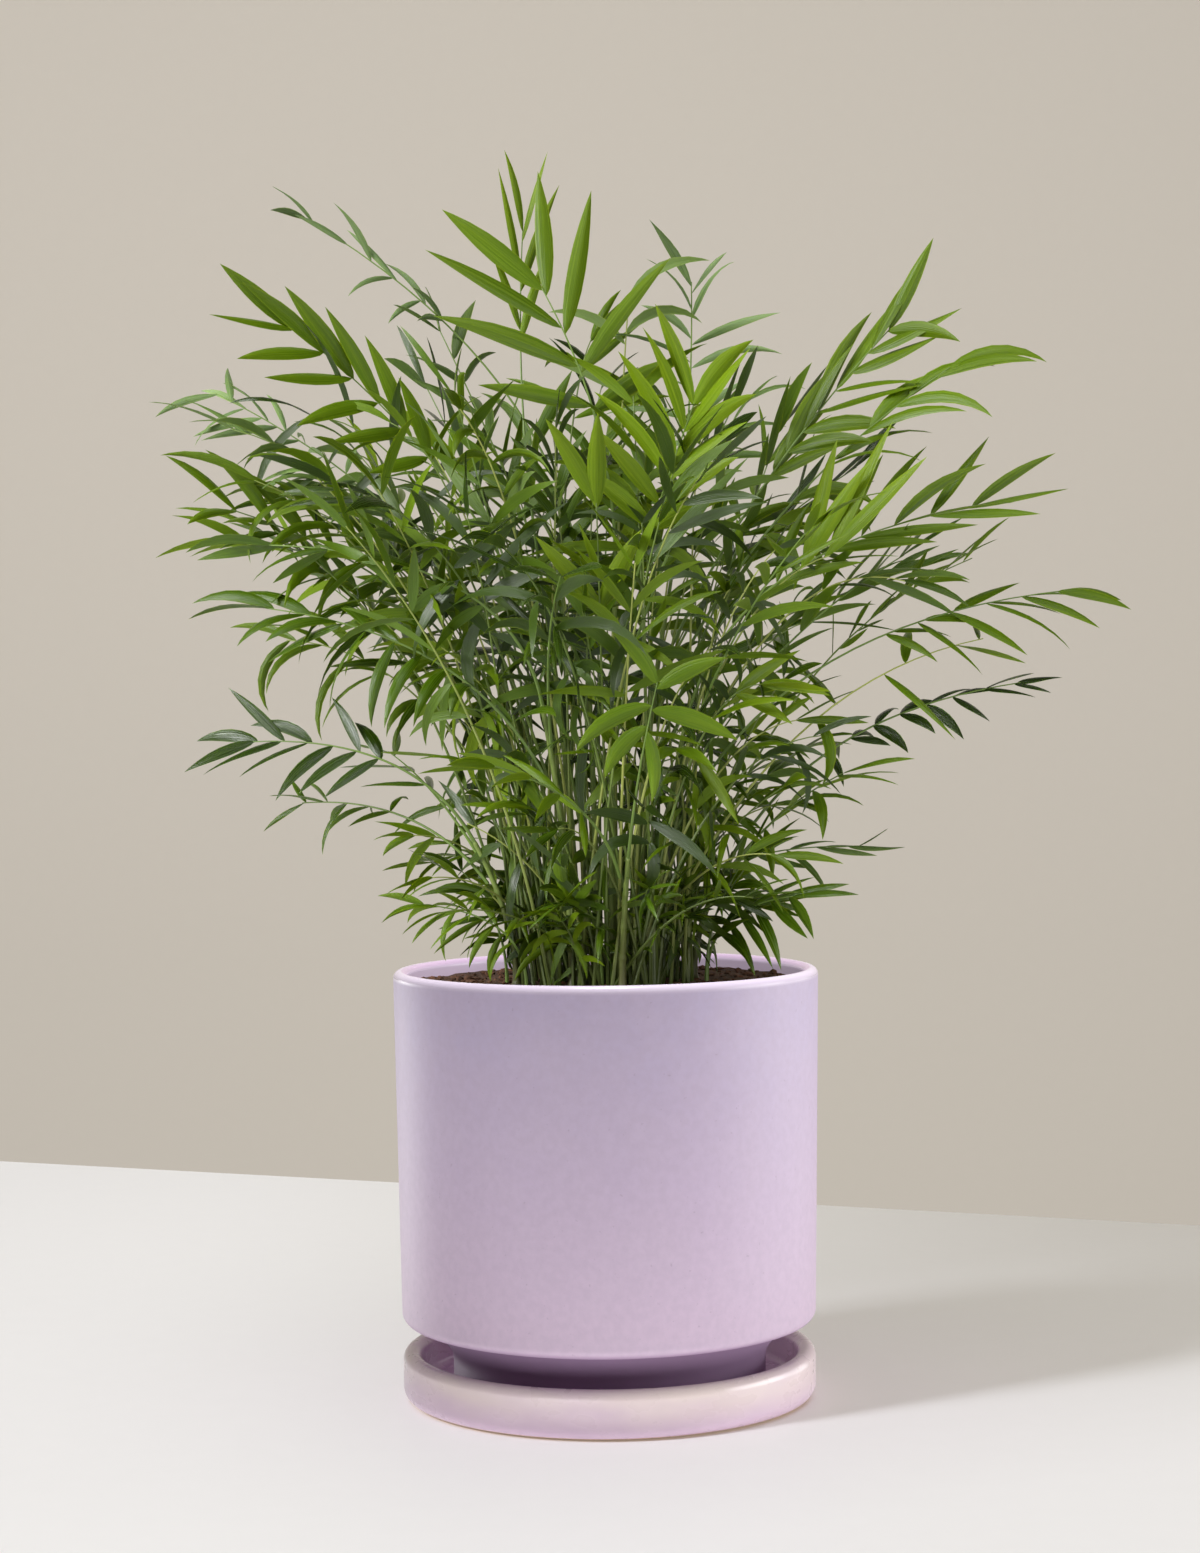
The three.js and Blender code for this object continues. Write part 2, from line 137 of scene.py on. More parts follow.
def tiered(count, first, reach, above, blade, leaf, broad, hang, span=360):
    """Fronds round the axis from a first azimuth on, at one reach from it and one height above the soil."""
    return dict(
        count=count, first=first, span=span, reach=reach, above=above,
        blade=blade, leaf=leaf, broad=broad, hang=hang,
    )


# What a frond is asked for. at: where the rib ends, right, back and above the soil.
# blade: the leafy share of the rib. leaf: longest leaflet. broad: its width over its length.
# turn: degrees that the blade's upper face turns to the front. open: spread of the leaflets.
# hang: how far leaflets droop, as a share of their length. tint: which green it is.
# pairs: leaflets a side, where they are counted. vee: how far both sides fold up, in radians.
# loose: how unevenly the leaflets stand. sweep: degrees that both sides swing to the rib's left.
# fan: degrees between the rib and its last leaflets. arch: how far they bend over, in radians.
# tone: from its darkest green, 0, to its lightest, 1.

# Fronds that draw the crown's outline
OUTLINE_FRONDS = [
    placed((-38, 4, 384), 0.3, 62, 0.1, 0, tint="lime", turn=60, open=0.25, pairs=3, loose=0.3),
    placed((-28, -30, 348), 0.42, 78, 0.165, 0, tint="fresh", turn=75, open=1, pairs=4, vee=0.05,
           loose=0.2, tone=0.6),
    placed((-154, -18, 332), 0.46, 60, 0.18, 0.02, tint="fresh", turn=66, open=0.74, pairs=6, vee=0.62,
           loose=0.15, sweep=32, tone=0.9),
    placed((-154, 48, 399), 0.3, 36, 0.15, 0.1, tint="wan", turn=40, open=0.5, pairs=6, loose=0.9,
           sweep=24, fan=24, arch=0.4),
    placed((-198, 22, 304), 0.45, 42, 0.15, 0.2, tint="wan", turn=35, open=0.7, pairs=11, loose=1,
           fan=40, arch=0.5),
    placed((-184, -24, 240), 0.5, 54, 0.17, 0.15, tint="fresh", turn=50, open=0.8, pairs=7, loose=0.4,
           fan=30, arch=0.5, tone=0.9),
    placed((-166, -40, 190), 0.6, 50, 0.17, 0.7, tint="green", turn=25, open=0.9, pairs=8, arch=0.5,
           tone=0.8),
    placed((-178, -8, 124), 0.46, 42, 0.22, 0.14, tint="deep", turn=58, open=0.85, pairs=6, vee=0.2,
           loose=0.5, fan=24, arch=0.4, tone=0.75),
    placed((-156, 24, 92), 0.4, 28, 0.18, 0.5, tint="green", turn=25, open=0.9, pairs=5, loose=1),
    placed((-93, -30, 42), 0.65, 32, 0.16, 0.5, tint="fresh", turn=40, open=0.9, pairs=8, loose=0.9,
           arch=0.6, tone=0.7),
    placed((148, -6, 330), 0.46, 56, 0.19, 0.05, tint="fresh", turn=55, open=0.34, pairs=8, loose=0.5,
           sweep=-16, fan=30, arch=0.3, tone=0.4),
    placed((174, -34, 306), 0.5, 56, 0.18, 0.5, tint="fresh", turn=35, open=0.34, pairs=6, loose=0.6,
           arch=0.8),
    placed((188, -18, 238), 0.5, 60, 0.125, 0.05, tint="fresh", turn=60, open=0.6, pairs=7, loose=0.4,
           sweep=4, fan=20, arch=0.25),
    placed((168, 44, 212), 0.6, 36, 0.16, 0.1, tint="green", turn=35, open=0.4, pairs=8, sweep=22,
           tone=0.9),
    placed((236, -14, 196), 0.34, 46, 0.18, 0.25, tint="fresh", turn=40, open=0.4, pairs=6, loose=0.5,
           fan=18, arch=0.3, tone=0.8),
    placed((214, 6, 150), 0.56, 27, 0.27, 0.4, tint="deep", turn=35, open=0.8, pairs=8),
    placed((134, 32, 66), 0.45, 30, 0.17, 0.3, tint="dull", turn=40, open=0.8, pairs=6, loose=0.8),
    placed((94, -30, 44), 0.6, 46, 0.15, 0.2, tint="green", turn=45, open=0.7, pairs=6, loose=0.25,
           sweep=-22, fan=24, tone=0.5),
    placed((48, 18, 358), 0.5, 44, 0.15, 0.35, tint="wan", turn=50, open=0.9, pairs=7, loose=1.1),
    placed((46, -66, 286), 0.54, 58, 0.19, 0, tint="lime", turn=72, open=0.72, pairs=6, vee=0.15,
           loose=0.4, sweep=10, fan=24, tone=0.8),
    placed((26, -100, 150), 0.24, 44, 0.24, 0.3, tint="fresh", turn=85, open=2.1, pairs=3, vee=0,
           loose=0.15, fan=44, arch=0.3, tone=0.75),
    placed((132, 18, 262), 0.42, 46, 0.16, 0.1, tint="deep", turn=45, open=0.7, pairs=6, loose=0.9),
    placed((82, 56, 306), 0.5, 36, 0.19, 0.2, tint="dull", turn=30, open=0.9, pairs=6, loose=0.9),
    placed((-84, 44, 340), 0.5, 42, 0.19, 0.2, tint="dull", turn=40, open=0.9, pairs=7, loose=0.9),
]

# Fronds that fill the crown all round, in tiers, as the solids have them
FILL_TIERS = [
    tiered(5, 232, 96, 290, 0.52, 50, 0.18, 0.15),
    tiered(7, 205, 158, 208, 0.58, 50, 0.17, 0.25),
    tiered(4, 250, 128, 112, 0.6, 42, 0.17, 0.3),
    tiered(5, 262, 78, 62, 0.68, 38, 0.16, 0.25),
]
FILL_JITTER = dict(azimuth=16, reach=0.1, above=0.08, turn=45)

# Slighter fronds inside the crown, in tiers and then one by one, each on its own stalk from the soil
INNER_TIERS = [
    tiered(8, 200, 46, 286, 0.4, 52, 0.16, 0.3),
    tiered(8, 190, 30, 246, 0.46, 50, 0.17, 0.5),
    tiered(12, 190, 104, 262, 0.42, 50, 0.165, 0.4),
    tiered(13, 215, 132, 228, 0.46, 46, 0.165, 0.5),
    tiered(12, 180, 74, 212, 0.46, 46, 0.17, 0.8),
    tiered(12, -60, 84, 166, 0.46, 44, 0.18, 1, span=350),
    tiered(14, -75, 60, 130, 0.46, 40, 0.19, 1),
    tiered(16, -70, 64, 90, 0.5, 38, 0.18, 1),
    tiered(20, 190, 66, 46, 0.66, 32, 0.18, 0.6),
    tiered(16, 205, 44, 34, 0.7, 28, 0.18, 0.6),
]
INNER_ASIDE = [
    placed((-146, -10, 288), 0.4, 48, 0.15, 0.3, arch=0.9),
    placed((-4, 26, 330), 0.4, 50, 0.16, 0.3),
    placed((16, 6, 350), 0.36, 46, 0.15, 0.3, tint="dull"),
    placed((-2, -84, 238), 0.24, 72, 0.2, 0, tint="lime", turn=82, open=0.55, pairs=2, vee=0.1,
           loose=0.15, sweep=10, fan=14, arch=0.1, tone=0.75),
    placed((192, -14, 172), 0.36, 44, 0.16, 1, tint="fresh", turn=40, open=0.9, pairs=3, loose=0.8,
           fan=60, arch=0.2, tone=0.8),
    placed((60, -34, 246), 0.44, 46, 0.17, 0.6),
    placed((72, 20, 236), 0.44, 46, 0.17, 0.6),
    placed((86, -52, 216), 0.44, 44, 0.17, 0.7),
    placed((-186, -8, 282), 0.36, 44, 0.14, 0.2, tint="dull", arch=0.7),
    placed((-150, 20, 262), 0.46, 52, 0.14, 0.2, tint="dull", arch=0.8),
    placed((-172, -30, 254), 0.42, 50, 0.14, 0.2, tint="fresh", arch=1),
    placed((-128, 44, 276), 0.44, 48, 0.15, 0.2, arch=0.9),
    placed((-142, -52, 256), 0.46, 52, 0.14, 0.2, tint="fresh", arch=1),
    placed((-118, -20, 240), 0.46, 48, 0.16, 0.3, tint="dull", arch=0.7),
    placed((-168, 48, 250), 0.42, 46, 0.14, 0.2, arch=0.8),
    placed((-108, -64, 246), 0.48, 50, 0.15, 0.3, tint="fresh", arch=0.9),
    placed((-182, 4, 226), 0.42, 46, 0.14, 0.2, tint="fresh", arch=0.8),
    placed((-132, 10, 204), 0.44, 44, 0.16, 0.3, arch=0.7),
    placed((-162, 14, 176), 0.4, 42, 0.14, 0.3, tint="fresh", arch=0.9),
    placed((-104, -30, 282), 0.42, 48, 0.15, 0.3, arch=0.8),
    placed((-86, 34, 272), 0.42, 48, 0.16, 0.3, arch=0.7),
    placed((-118, 60, 262), 0.42, 46, 0.15, 0.3, arch=0.8),
    placed((-74, -44, 262), 0.44, 48, 0.16, 0.3, tint="dull", arch=0.6),
    placed((112, -56, 212), 0.1, 92, 0.125, 0, tint="lime", turn=78, open=0.2, pairs=2, vee=0,
           loose=0.1, sweep=36, fan=14, arch=0.05, tone=0.7),
    placed((190, 10, 214), 0.36, 44, 0.15, 0.1, tint="fresh", arch=0.2),
    placed((150, -40, 200), 0.46, 48, 0.15, 0.35, tint="green", arch=0.5),
    placed((92, -10, 154), 0.5, 42, 0.16, 0.5),
    placed((108, -40, 124), 0.5, 38, 0.16, 0.5),
    placed((98, -24, 132), 0.5, 42, 0.18, 0.6),
    placed((106, 22, 118), 0.5, 40, 0.18, 0.6),
    placed((90, -48, 100), 0.5, 40, 0.18, 0.6),
    placed((98, 8, 90), 0.5, 36, 0.18, 0.6),
    placed((76, 40, 104), 0.5, 38, 0.18, 0.6),
    placed((84, -62, 66), 0.55, 34, 0.18, 0.5),
    placed((72, -72, 46), 0.6, 34, 0.15, 0.4),
    placed((80, 24, 62), 0.55, 32, 0.18, 0.5),
    placed((-96, -16, 76), 0.5, 34, 0.18, 0.5, tint="fresh"),
    placed((-90, 26, 60), 0.55, 32, 0.18, 0.5, tint="fresh"),
    placed((-86, -46, 56), 0.55, 34, 0.18, 0.5, tint="fresh"),
    placed((-80, -66, 40), 0.6, 32, 0.15, 0.4, tint="fresh"),
]
# Where the tiers leave the crown open: spans to the right and above the soil
OPEN_SKY = [((96, 160), (222, 300)), ((-150, -70), (284, 400)), ((120, 240), (60, 175))]
INNER_JITTER = dict(azimuth=22, reach=0.25, above=0.12, turn=75, open=0.2, leaf=0.22)
USUAL_OPEN = 0.85

# An inner stalk: how far out its foot may stand, how many degrees off its tip's way, how much it leans out,
# and how far it runs straight on as a share of its reach. LOW_TINTS are for tips up to LOW_FRONDS high.
INNER_FOOT, INNER_FOOT_AZIMUTH = 46, 60
INNER_LEAN = 0.4
INNER_BOW, INNER_BOW_MORE = 0.58, 0.36
LOW_FRONDS = 100
INNER_SEED, LEAF_SEED = 90521, 90528

# A leaflet's mesh: rows of corners along it and across it, a fold at its midrib, its bend in small steps
LEAF_STATIONS = np.array([0.06, 0.17, 0.31, 0.46, 0.61, 0.77, 0.91])
LEAF_ACROSS = np.array([-1, -0.5, 0, 0.5, 1])
LEAF_THICKNESS = 0.45
LEAF_FOLD, FOLD_POWER = 0.24, 1.4
LEAF_STEPS, BEND_POWER = 24, 1.2
WIDTH_POWER = 0.7
BOX_MARGIN = 0.5

# How leaflets stand on a rib. Angles from the rib are in degrees, at the blade's first and last pair.
PAIR_SPACING, PAIR_GAP = 0.34, 0.5
FEWEST_PAIRS, MOST_PAIRS = 4, 10
FIRST_ANGLE, LAST_ANGLE = 66, 26
LAST_SHARE, MOST_SHARE = 0.99, 0.995
LEAF_SLIM, SLIMMER = 0.8, 0.25
USUAL_VEE = 0.2
LAG = 0.4
LEAST_ARCH, MORE_ARCH = 0.1, 0.8
SHED_CHANCE, SHED_FROM = 0.12, 0.4
SHORTEST, SWELL, SWELL_FROM, SWELL_TO = 0.66, 0.34, 0.1, 0.8
NARROWEST = 0.75
FIRST_HANG, LAST_HANG, HANG_SPREAD = 1.7, 0.3, 1.5
HANG_BEND, HANG_BEND_MORE = 0.2, 1.2
RAISED_SHARE, LIFT = 0.8, 0.1
LEAST_BEND, MOST_BEND = 0.05, 1.6
LEAF_JITTER = dict(
    share=0.01, angle=18, vee=0.35, raised=0.4, hang=0.5, roll=1.1, long=0.22, wide=0.15, bend=0.2,
    sway=0.5, twist=1.6, tone=0.35,
)


def srgb(red, green, blue):
    """A colour from its 0 to 255 values, as the linear colour that shaders take."""
    def linear(value):
        value /= 255
        return value / 12.92 if value <= 0.04045 else ((value + 0.055) / 1.055) ** 2.4
    return (linear(red), linear(green), linear(blue), 1)


def add_object(name, data):
    thing = bpy.data.objects.new(name, data)
    bpy.context.collection.objects.link(thing)
    return thing


# Camera
def add_camera():
    data = bpy.data.cameras.new("camera")
    data.sensor_width = SENSOR_MM
    data.lens = SENSOR_MM * FOCAL_PIXELS / PHOTO_HEIGHT
    camera = add_object("camera", data)
    turn = (
        Matrix.Rotation(math.radians(CAMERA_YAW), 4, "Z")
        @ Matrix.Rotation(math.radians(90 - CAMERA_PITCH), 4, "X")
        @ Matrix.Rotation(math.radians(-CAMERA_ROLL), 4, "Z")
    )
    camera.matrix_world = Matrix.Translation((0, -CAMERA_DISTANCE, CAMERA_HEIGHT)) @ turn
    bpy.context.scene.camera = camera


# Vectors, draws and curves for growing the palm, in millimetres
UP = np.array([0.0, 0.0, 1.0])
FRONT = np.array([0.0, -1.0, 0.0])


def unit(v):
    return v / np.linalg.norm(v, axis=-1, keepdims=True)


def mix(a, b, t):
    return a + (b - a) * t


def level(v):
    return np.array([v[0], v[1], 0])


def bearing(v):
    return math.degrees(math.atan2(v[1], v[0]))


def around(degrees, radius, z):
    angle = math.radians(degrees)
    return np.array([radius * math.cos(angle), radius * math.sin(angle), z])


class Draws:
    """Park and Miller's generator, which the solids' rule draws from too."""

    def __init__(self, seed):
        self.state = seed

    def next(self):
        self.state = (self.state * 16807) % 2147483647
        return self.state / 2147483647

    def wobble(self, size):
        return (2 * self.next() - 1) * size


class Bend:
    """A curve from a toward b and over to c, which lies in one plane square to side."""

    def __init__(self, a, b, c):
        self.a, self.b, self.c = a, b, c
        self.side = unit(np.cross(b - a, c - b))

    def at(self, t):
        t = np.asarray(t, float)[..., None]
        return self.a * (1 - t) ** 2 + self.b * 2 * t * (1 - t) + self.c * t * t

    def along(self, t):
        t = np.asarray(t, float)[..., None]
        return unit((self.b - self.a) * (1 - t) + (self.c - self.b) * t)


def stem_radius(t):
    t = np.asarray(t, float)
    return mix(STEM_FOOT_RADIUS, STEM_TIP_RADIUS, t) * np.where(t == 0, STEM_FLARE, 1)


def rib_radius(t):
    return mix(STALK_RADIUS, RIB_TIP_RADIUS, np.asarray(t, float))


def grow_stems(draws):
    stems = []
    for ring in STEM_RINGS:
        for i in range(ring["count"]):
            azimuth = ring["start"] + 360 * i / ring["count"] + draws.wobble(STEM_JITTER["azimuth"])
            height = ring["height"] * (1 + draws.wobble(STEM_JITTER["height"]))
            reach = ring["reach"] * (1 + draws.wobble(STEM_JITTER["reach"]))
            foot = around(azimuth, ring["foot_ring"], GROUND + CLEARANCE)
            curve = Bend(foot, foot + UP * height * STEM_BOW, around(azimuth, reach, GROUND + height))
            stems.append(dict(name=f"stem_{ring['name']}_{i + 1}", ring=ring, curve=curve, fronds=[]))
    return stems


def tier_tip(tier, i, jitter, draws):
    return around(
        tier["first"] + tier["span"] * i / tier["count"] + draws.wobble(jitter["azimuth"]),
        tier["reach"] * (1 + draws.wobble(jitter["reach"])),
        tier["above"] * (1 + draws.wobble(jitter["above"])),
    )


def outline_tip(wish, tries, draws):
    spread = TIP_SPREAD if tries else (0, 0, 0)
    return np.array([wish["at"][k] + draws.wobble(spread[k]) for k in range(3)])


def frond_wishes(draws):
    """What each of the solids' fronds is asked for, and how to draw its tip."""
    wishes = [
        dict(wish, draw=lambda tries, w=wish: outline_tip(w, tries, draws)) for wish in OUTLINE_FRONDS
    ]
    for tier in FILL_TIERS:
        for i in range(tier["count"]):
            wishes.append(dict(
                tier, turn=draws.wobble(FILL_JITTER["turn"]), open=USUAL_OPEN, tint="fill", loose=0.9,
                draw=lambda tries, w=tier, k=i: tier_tip(w, k, FILL_JITTER, draws),
            ))
    return wishes


def choose_stem(stems, tip):
    """The ring by height, then the stem that leans that way with room. The lowest fronds have none."""
    ring = next((r for r in STEM_RINGS if tip[2] >= r["holds_above"]), None)
    if ring is None:
        return None

    def away(stem):
        lean = unit(level(stem["curve"].at(1)))
        return FROND_COST * len(stem["fronds"]) - lean @ level(tip) / LEAN_STEP

    return min((s for s in stems if s["ring"] is ring), key=away)


def soil_rib(tip, azimuth, ring):
    foot = around(azimuth, ring, GROUND + CLEARANCE)
    return Bend(foot, foot + UP * np.linalg.norm(tip - foot) * SOIL_RIB_BOW, tip)


def stem_rib(owner, place, tip):
    """A rib from its place on a stem: the first at the stem's top, the others down its side."""
    t = 1 - SEAT_SPACING * place
    stem_way = owner["curve"].along(t)
    middle = owner["curve"].at(t)
    aim = tip - middle
    side = unit(aim - stem_way * (aim @ stem_way))
    gap = float(stem_radius(t)) + STALK_RADIUS + CLEARANCE
    seat = middle + (stem_way * CLEARANCE if place == 0 else side * gap)
    lift = stem_way if place == 0 else unit(stem_way + side * RIB_LEAN)
    return Bend(seat, seat + lift * np.linalg.norm(tip - seat) * STEM_RIB_BOW, tip)


def pieces(curve, steps):
    """A curve as straight pieces: their starts, ends and middle shares."""
    t = np.arange(steps + 1) / steps
    points = curve.at(t)
    return points[:-1], points[1:], (t[:-1] + t[1:]) / 2


def piece_distances(starts, ends, starts_2, ends_2):
    """Least distances between each straight piece of one set and each of another."""
    u = (ends - starts)[:, None, :]
    v = (ends_2 - starts_2)[None, :, :]
    w = starts[:, None, :] - starts_2[None, :, :]
    uu, uv, vv = (u * u).sum(-1), (u * v).sum(-1), (v * v).sum(-1)
    uw, vw = (u * w).sum(-1), (v * w).sum(-1)
    square = uu * vv - uv * uv
    s = np.where(square < 1e-9, 0, np.clip((uv * vw - vv * uw) / np.maximum(square, 1e-9), 0, 1))
    t = np.clip((uv * s + vw) / vv, 0, 1)
    s = np.clip((uv * t - uw) / uu, 0, 1)
    return np.linalg.norm(w + u * s[..., None] - v * t[..., None], axis=-1)


def is_clear(curve, owner, standing):
    """Whether a rib keeps clear of the stems and ribs that stand already, its own stem aside."""
    starts, ends, shares = pieces(curve, RIB_STEPS)
    for other in standing:
        room = other["radii"][:, None] + rib_radius(shares)[None, :] + CLEARANCE + RIB_ROOM
        near = piece_distances(other["starts"], other["ends"], starts, ends) <= room
        if owner is not None and other["owner"] is owner:
            near = near[:, shares >= NEAR_OWN_STEM]
        if near.any():
            return False
    return True


def standing_line(curve, steps, radius_at, owner):
    starts, ends, shares = pieces(curve, steps)
    return dict(starts=starts, ends=ends, radii=radius_at(shares), owner=owner)


def settle(grown, standing, rib_to):
    """Draws a frond's tip again until its rib has room."""
    for tries in range(1, RIB_TRIES + 1):
        grown["curve"] = rib_to(grown["tip"])
        if is_clear(grown["curve"], grown["owner"], standing):
            break
        grown["tip"] = grown["wish"]["draw"](tries) + UP * GROUND
    standing.append(standing_line(grown["curve"], RIB_STEPS, rib_radius, grown["owner"]))


def grow_fronds(stems, draws):
    """The solids' own fronds, in the order that the part's source grows them."""
    wished = [dict(wish=wish) for wish in frond_wishes(draws)]
    low = []
    for grown in wished:
        grown["tip"] = grown["wish"]["draw"](0) + UP * GROUND
    for grown in wished:
        grown["owner"] = choose_stem(stems, grown["tip"] - UP * GROUND)
        (grown["owner"]["fronds"] if grown["owner"] else low).append(grown)
    standing = [standing_line(s["curve"], STEM_STEPS, stem_radius, s) for s in stems]
    for owner in stems:
        owner["fronds"].sort(key=lambda grown: -grown["tip"][2])
        for place, grown in enumerate(owner["fronds"]):
            settle(grown, standing, lambda tip, o=owner, p=place: stem_rib(o, p, tip))
    for grown in low:
        settle(grown, standing, lambda tip, toward=bearing(grown["tip"]): soil_rib(
            tip, toward + draws.wobble(SOIL_RING_JITTER["azimuth"]),
            SOIL_RING * (1 + draws.wobble(SOIL_RING_JITTER["ring"])),
        ))
    return [grown for owner in stems for grown in owner["fronds"]] + low


def inner_rib(tip, draws):
    """A stalk that leans out from the soil a little, then arches over to its tip."""
    toward = bearing(tip) + draws.wobble(INNER_FOOT_AZIMUTH)
    foot = around(toward, INNER_FOOT * math.sqrt(draws.next()), GROUND + CLEARANCE)
    aim = tip - foot
    lean = unit(UP + level(aim) / aim[2] * INNER_LEAN)
    straight = lean * np.linalg.norm(aim) * (INNER_BOW + draws.next() * INNER_BOW_MORE)
    return Bend(foot, foot + straight, tip)


def shows_sky(tip):
    """Whether a tip, above the soil, is where the crown stands open."""
    return any(x[0] < tip[0] < x[1] and z[0] < tip[2] < z[1] for x, z in OPEN_SKY)


def grow_inner_fronds(draws):
    wishes = [
        (tier, tier_tip(tier, i, INNER_JITTER, draws)) for tier in INNER_TIERS for i in range(tier["count"])
    ]
    wishes = [(wish, tip) for wish, tip in wishes if not shows_sky(tip)]
    wishes += [(aside, np.array(aside["at"], float)) for aside in INNER_ASIDE]
    fronds = []
    for k, (wish, above_soil) in enumerate(wishes):
        tip = above_soil + UP * GROUND
        tints = INNER_TINTS if above_soil[2] > LOW_FRONDS else LOW_TINTS
        usual = dict(
            turn=draws.wobble(INNER_JITTER["turn"]), open=USUAL_OPEN + draws.wobble(INNER_JITTER["open"]),
            loose=1, tint=tints[k % len(tints)],
        )
        leaf = wish["leaf"] * (1 + draws.wobble(INNER_JITTER["leaf"]))
        wish = {**usual, **wish, "leaf": leaf}
        fronds.append(dict(wish=wish, tip=tip, owner=None, curve=inner_rib(tip, draws)))
    return fronds


# Meshes made as joined copies of one small shape
COPY_SHARP_DEGREES = 55
TUBE_END_IN, TUBE_END_OUT = 0.2, 0.8


def joined_copies(name, points, faces, corner_uvs=None, face_slots=None, tones=None):
    """One mesh of many copies. points: each copy's corners, in metres. faces: of one copy.

    tones gives each copy one number, which its material reads.
    """
    copies, corners, _ = points.shape
    flat = np.concatenate([np.array(face) for face in faces])
    sizes = np.array([len(face) for face in faces])
    loops = (flat[None, :] + corners * np.arange(copies)[:, None]).ravel()
    starts = np.concatenate([[0], np.cumsum(np.tile(sizes, copies))[:-1]])
    mesh = bpy.data.meshes.new(name)
    mesh.vertices.add(copies * corners)
    mesh.vertices.foreach_set("co", points.astype(np.float32).ravel())
    mesh.loops.add(len(loops))
    mesh.loops.foreach_set("vertex_index", loops.astype(np.int32))
    mesh.polygons.add(copies * len(faces))
    mesh.polygons.foreach_set("loop_start", starts.astype(np.int32))
    if face_slots is not None:
        mesh.polygons.foreach_set("material_index", np.tile(face_slots, copies).astype(np.int32))
    if corner_uvs is not None:
        layer = mesh.uv_layers.new(name="grain")
        per_loop = (corner_uvs if corner_uvs.ndim == 3 else np.tile(corner_uvs, (copies, 1, 1)))
        per_loop = per_loop.reshape(-1, 2)[loops]
        layer.data.foreach_set("uv", per_loop.astype(np.float32).ravel())
    if tones is not None:
        tone = mesh.attributes.new("tone", "FLOAT", "POINT")
        tone.data.foreach_set("value", np.repeat(tones, corners).astype(np.float32))
    mesh.polygons.foreach_set("use_smooth", np.ones(copies * len(faces), bool))
    mesh.update(calc_edges=True)
    mesh.validate()
    mesh.set_sharp_from_angle(angle=math.radians(COPY_SHARP_DEGREES))
    return add_object(name, mesh)


def tube_faces(rings, sides):
    """A closed tube's faces: rings of corners, then its two end points."""
    faces = []
    for i in range(rings - 1):
        for j in range(sides):
            k = (j + 1) % sides
            faces.append((i * sides + j, i * sides + k, (i + 1) * sides + k, (i + 1) * sides + j))
    foot, tip, last = rings * sides, rings * sides + 1, (rings - 1) * sides
    for j in range(sides):
        k = (j + 1) % sides
        faces.append((k, j, foot))
        faces.append((last + j, last + k, tip))
    return faces


def tube_points(curve, shares, radii, sides):
    """A tube's corners along a curve, with an end point past each end."""
    middle, along = curve.at(shares), curve.along(shares)
    side = np.broadcast_to(curve.side, along.shape)
    other = np.cross(along, side)
    angle = 2 * np.pi * np.arange(sides) / sides
    ring = (side[:, None, :] * np.cos(angle)[None, :, None]
            + other[:, None, :] * np.sin(angle)[None, :, None])
    rings = middle[:, None, :] + ring * np.asarray(radii)[:, None, None]
    foot = middle[0] - along[0] * radii[0] * TUBE_END_IN
    tip = middle[-1] + along[-1] * radii[-1] * TUBE_END_OUT
    return np.concatenate([rings.reshape(-1, 3), foot[None], tip[None]])


def tube_uvs(rings, sides, length):
    """Round the tube and along it, the length in centimetres."""
    v = np.repeat(np.linspace(0, length / 10, rings), sides)
    u = np.tile(np.arange(sides) / sides, rings)
    return np.concatenate([np.stack([u, v], 1), [[0.5, 0], [0.5, length / 10]]])


# Leaflets
def leaf_faces():
    """One leaflet's faces and their slots: 0 for the upper side, 1 for the underside."""
    wide = len(LEAF_ACROSS)
    row = wide + 1
    rows = len(LEAF_STATIONS)
    tip = 1 + rows * row
    faces, slots = [], []

    def corner(station, across):
        return 1 + station * row + across

    under = wide
    for j in range(wide - 1):
        faces.append((0, corner(0, j + 1), corner(0, j)))
        for i in range(rows - 1):
            faces.append((corner(i, j), corner(i, j + 1), corner(i + 1, j + 1), corner(i + 1, j)))
        faces.append((corner(rows - 1, j), corner(rows - 1, j + 1), tip))
    slots += [0] * len(faces)
    faces.append((0, corner(0, 0), corner(0, under)))
    faces.append((0, corner(0, under), corner(0, wide - 1)))
    for i in range(rows - 1):
        faces.append((corner(i, 0), corner(i + 1, 0), corner(i + 1, under), corner(i, under)))
        faces.append((corner(i, under), corner(i + 1, under), corner(i + 1, wide - 1), corner(i, wide - 1)))
    faces.append((corner(rows - 1, 0), tip, corner(rows - 1, under)))
    faces.append((corner(rows - 1, under), tip, corner(rows - 1, wide - 1)))
    slots += [1] * (len(faces) - len(slots))
    return faces, np.array(slots)


def leaf_uvs():
    rows = [[0.5, 0]]
    for station in LEAF_STATIONS:
        rows += [[(a + 1) / 2, station] for a in LEAF_ACROSS] + [[0.5, station]]
    return np.array(rows + [[0.5, 1]])


def leaf_width_at(s):
    """A lance shape: a narrow root, widest before the middle and a long drawn point."""
    widest = WIDTH_POWER / (1 + WIDTH_POWER)
    return s ** WIDTH_POWER * (1 - s) / (widest ** WIDTH_POWER * (1 - widest))


def turn_about(v, axis, angle):
    """Vectors turned about unit axes, each by its own angle."""
    sine, cosine = np.sin(angle)[:, None], np.cos(angle)[:, None]
    inline = axis * (axis * v).sum(1, keepdims=True) * (1 - cosine)
    return v * cosine + np.cross(axis, v) * sine + inline


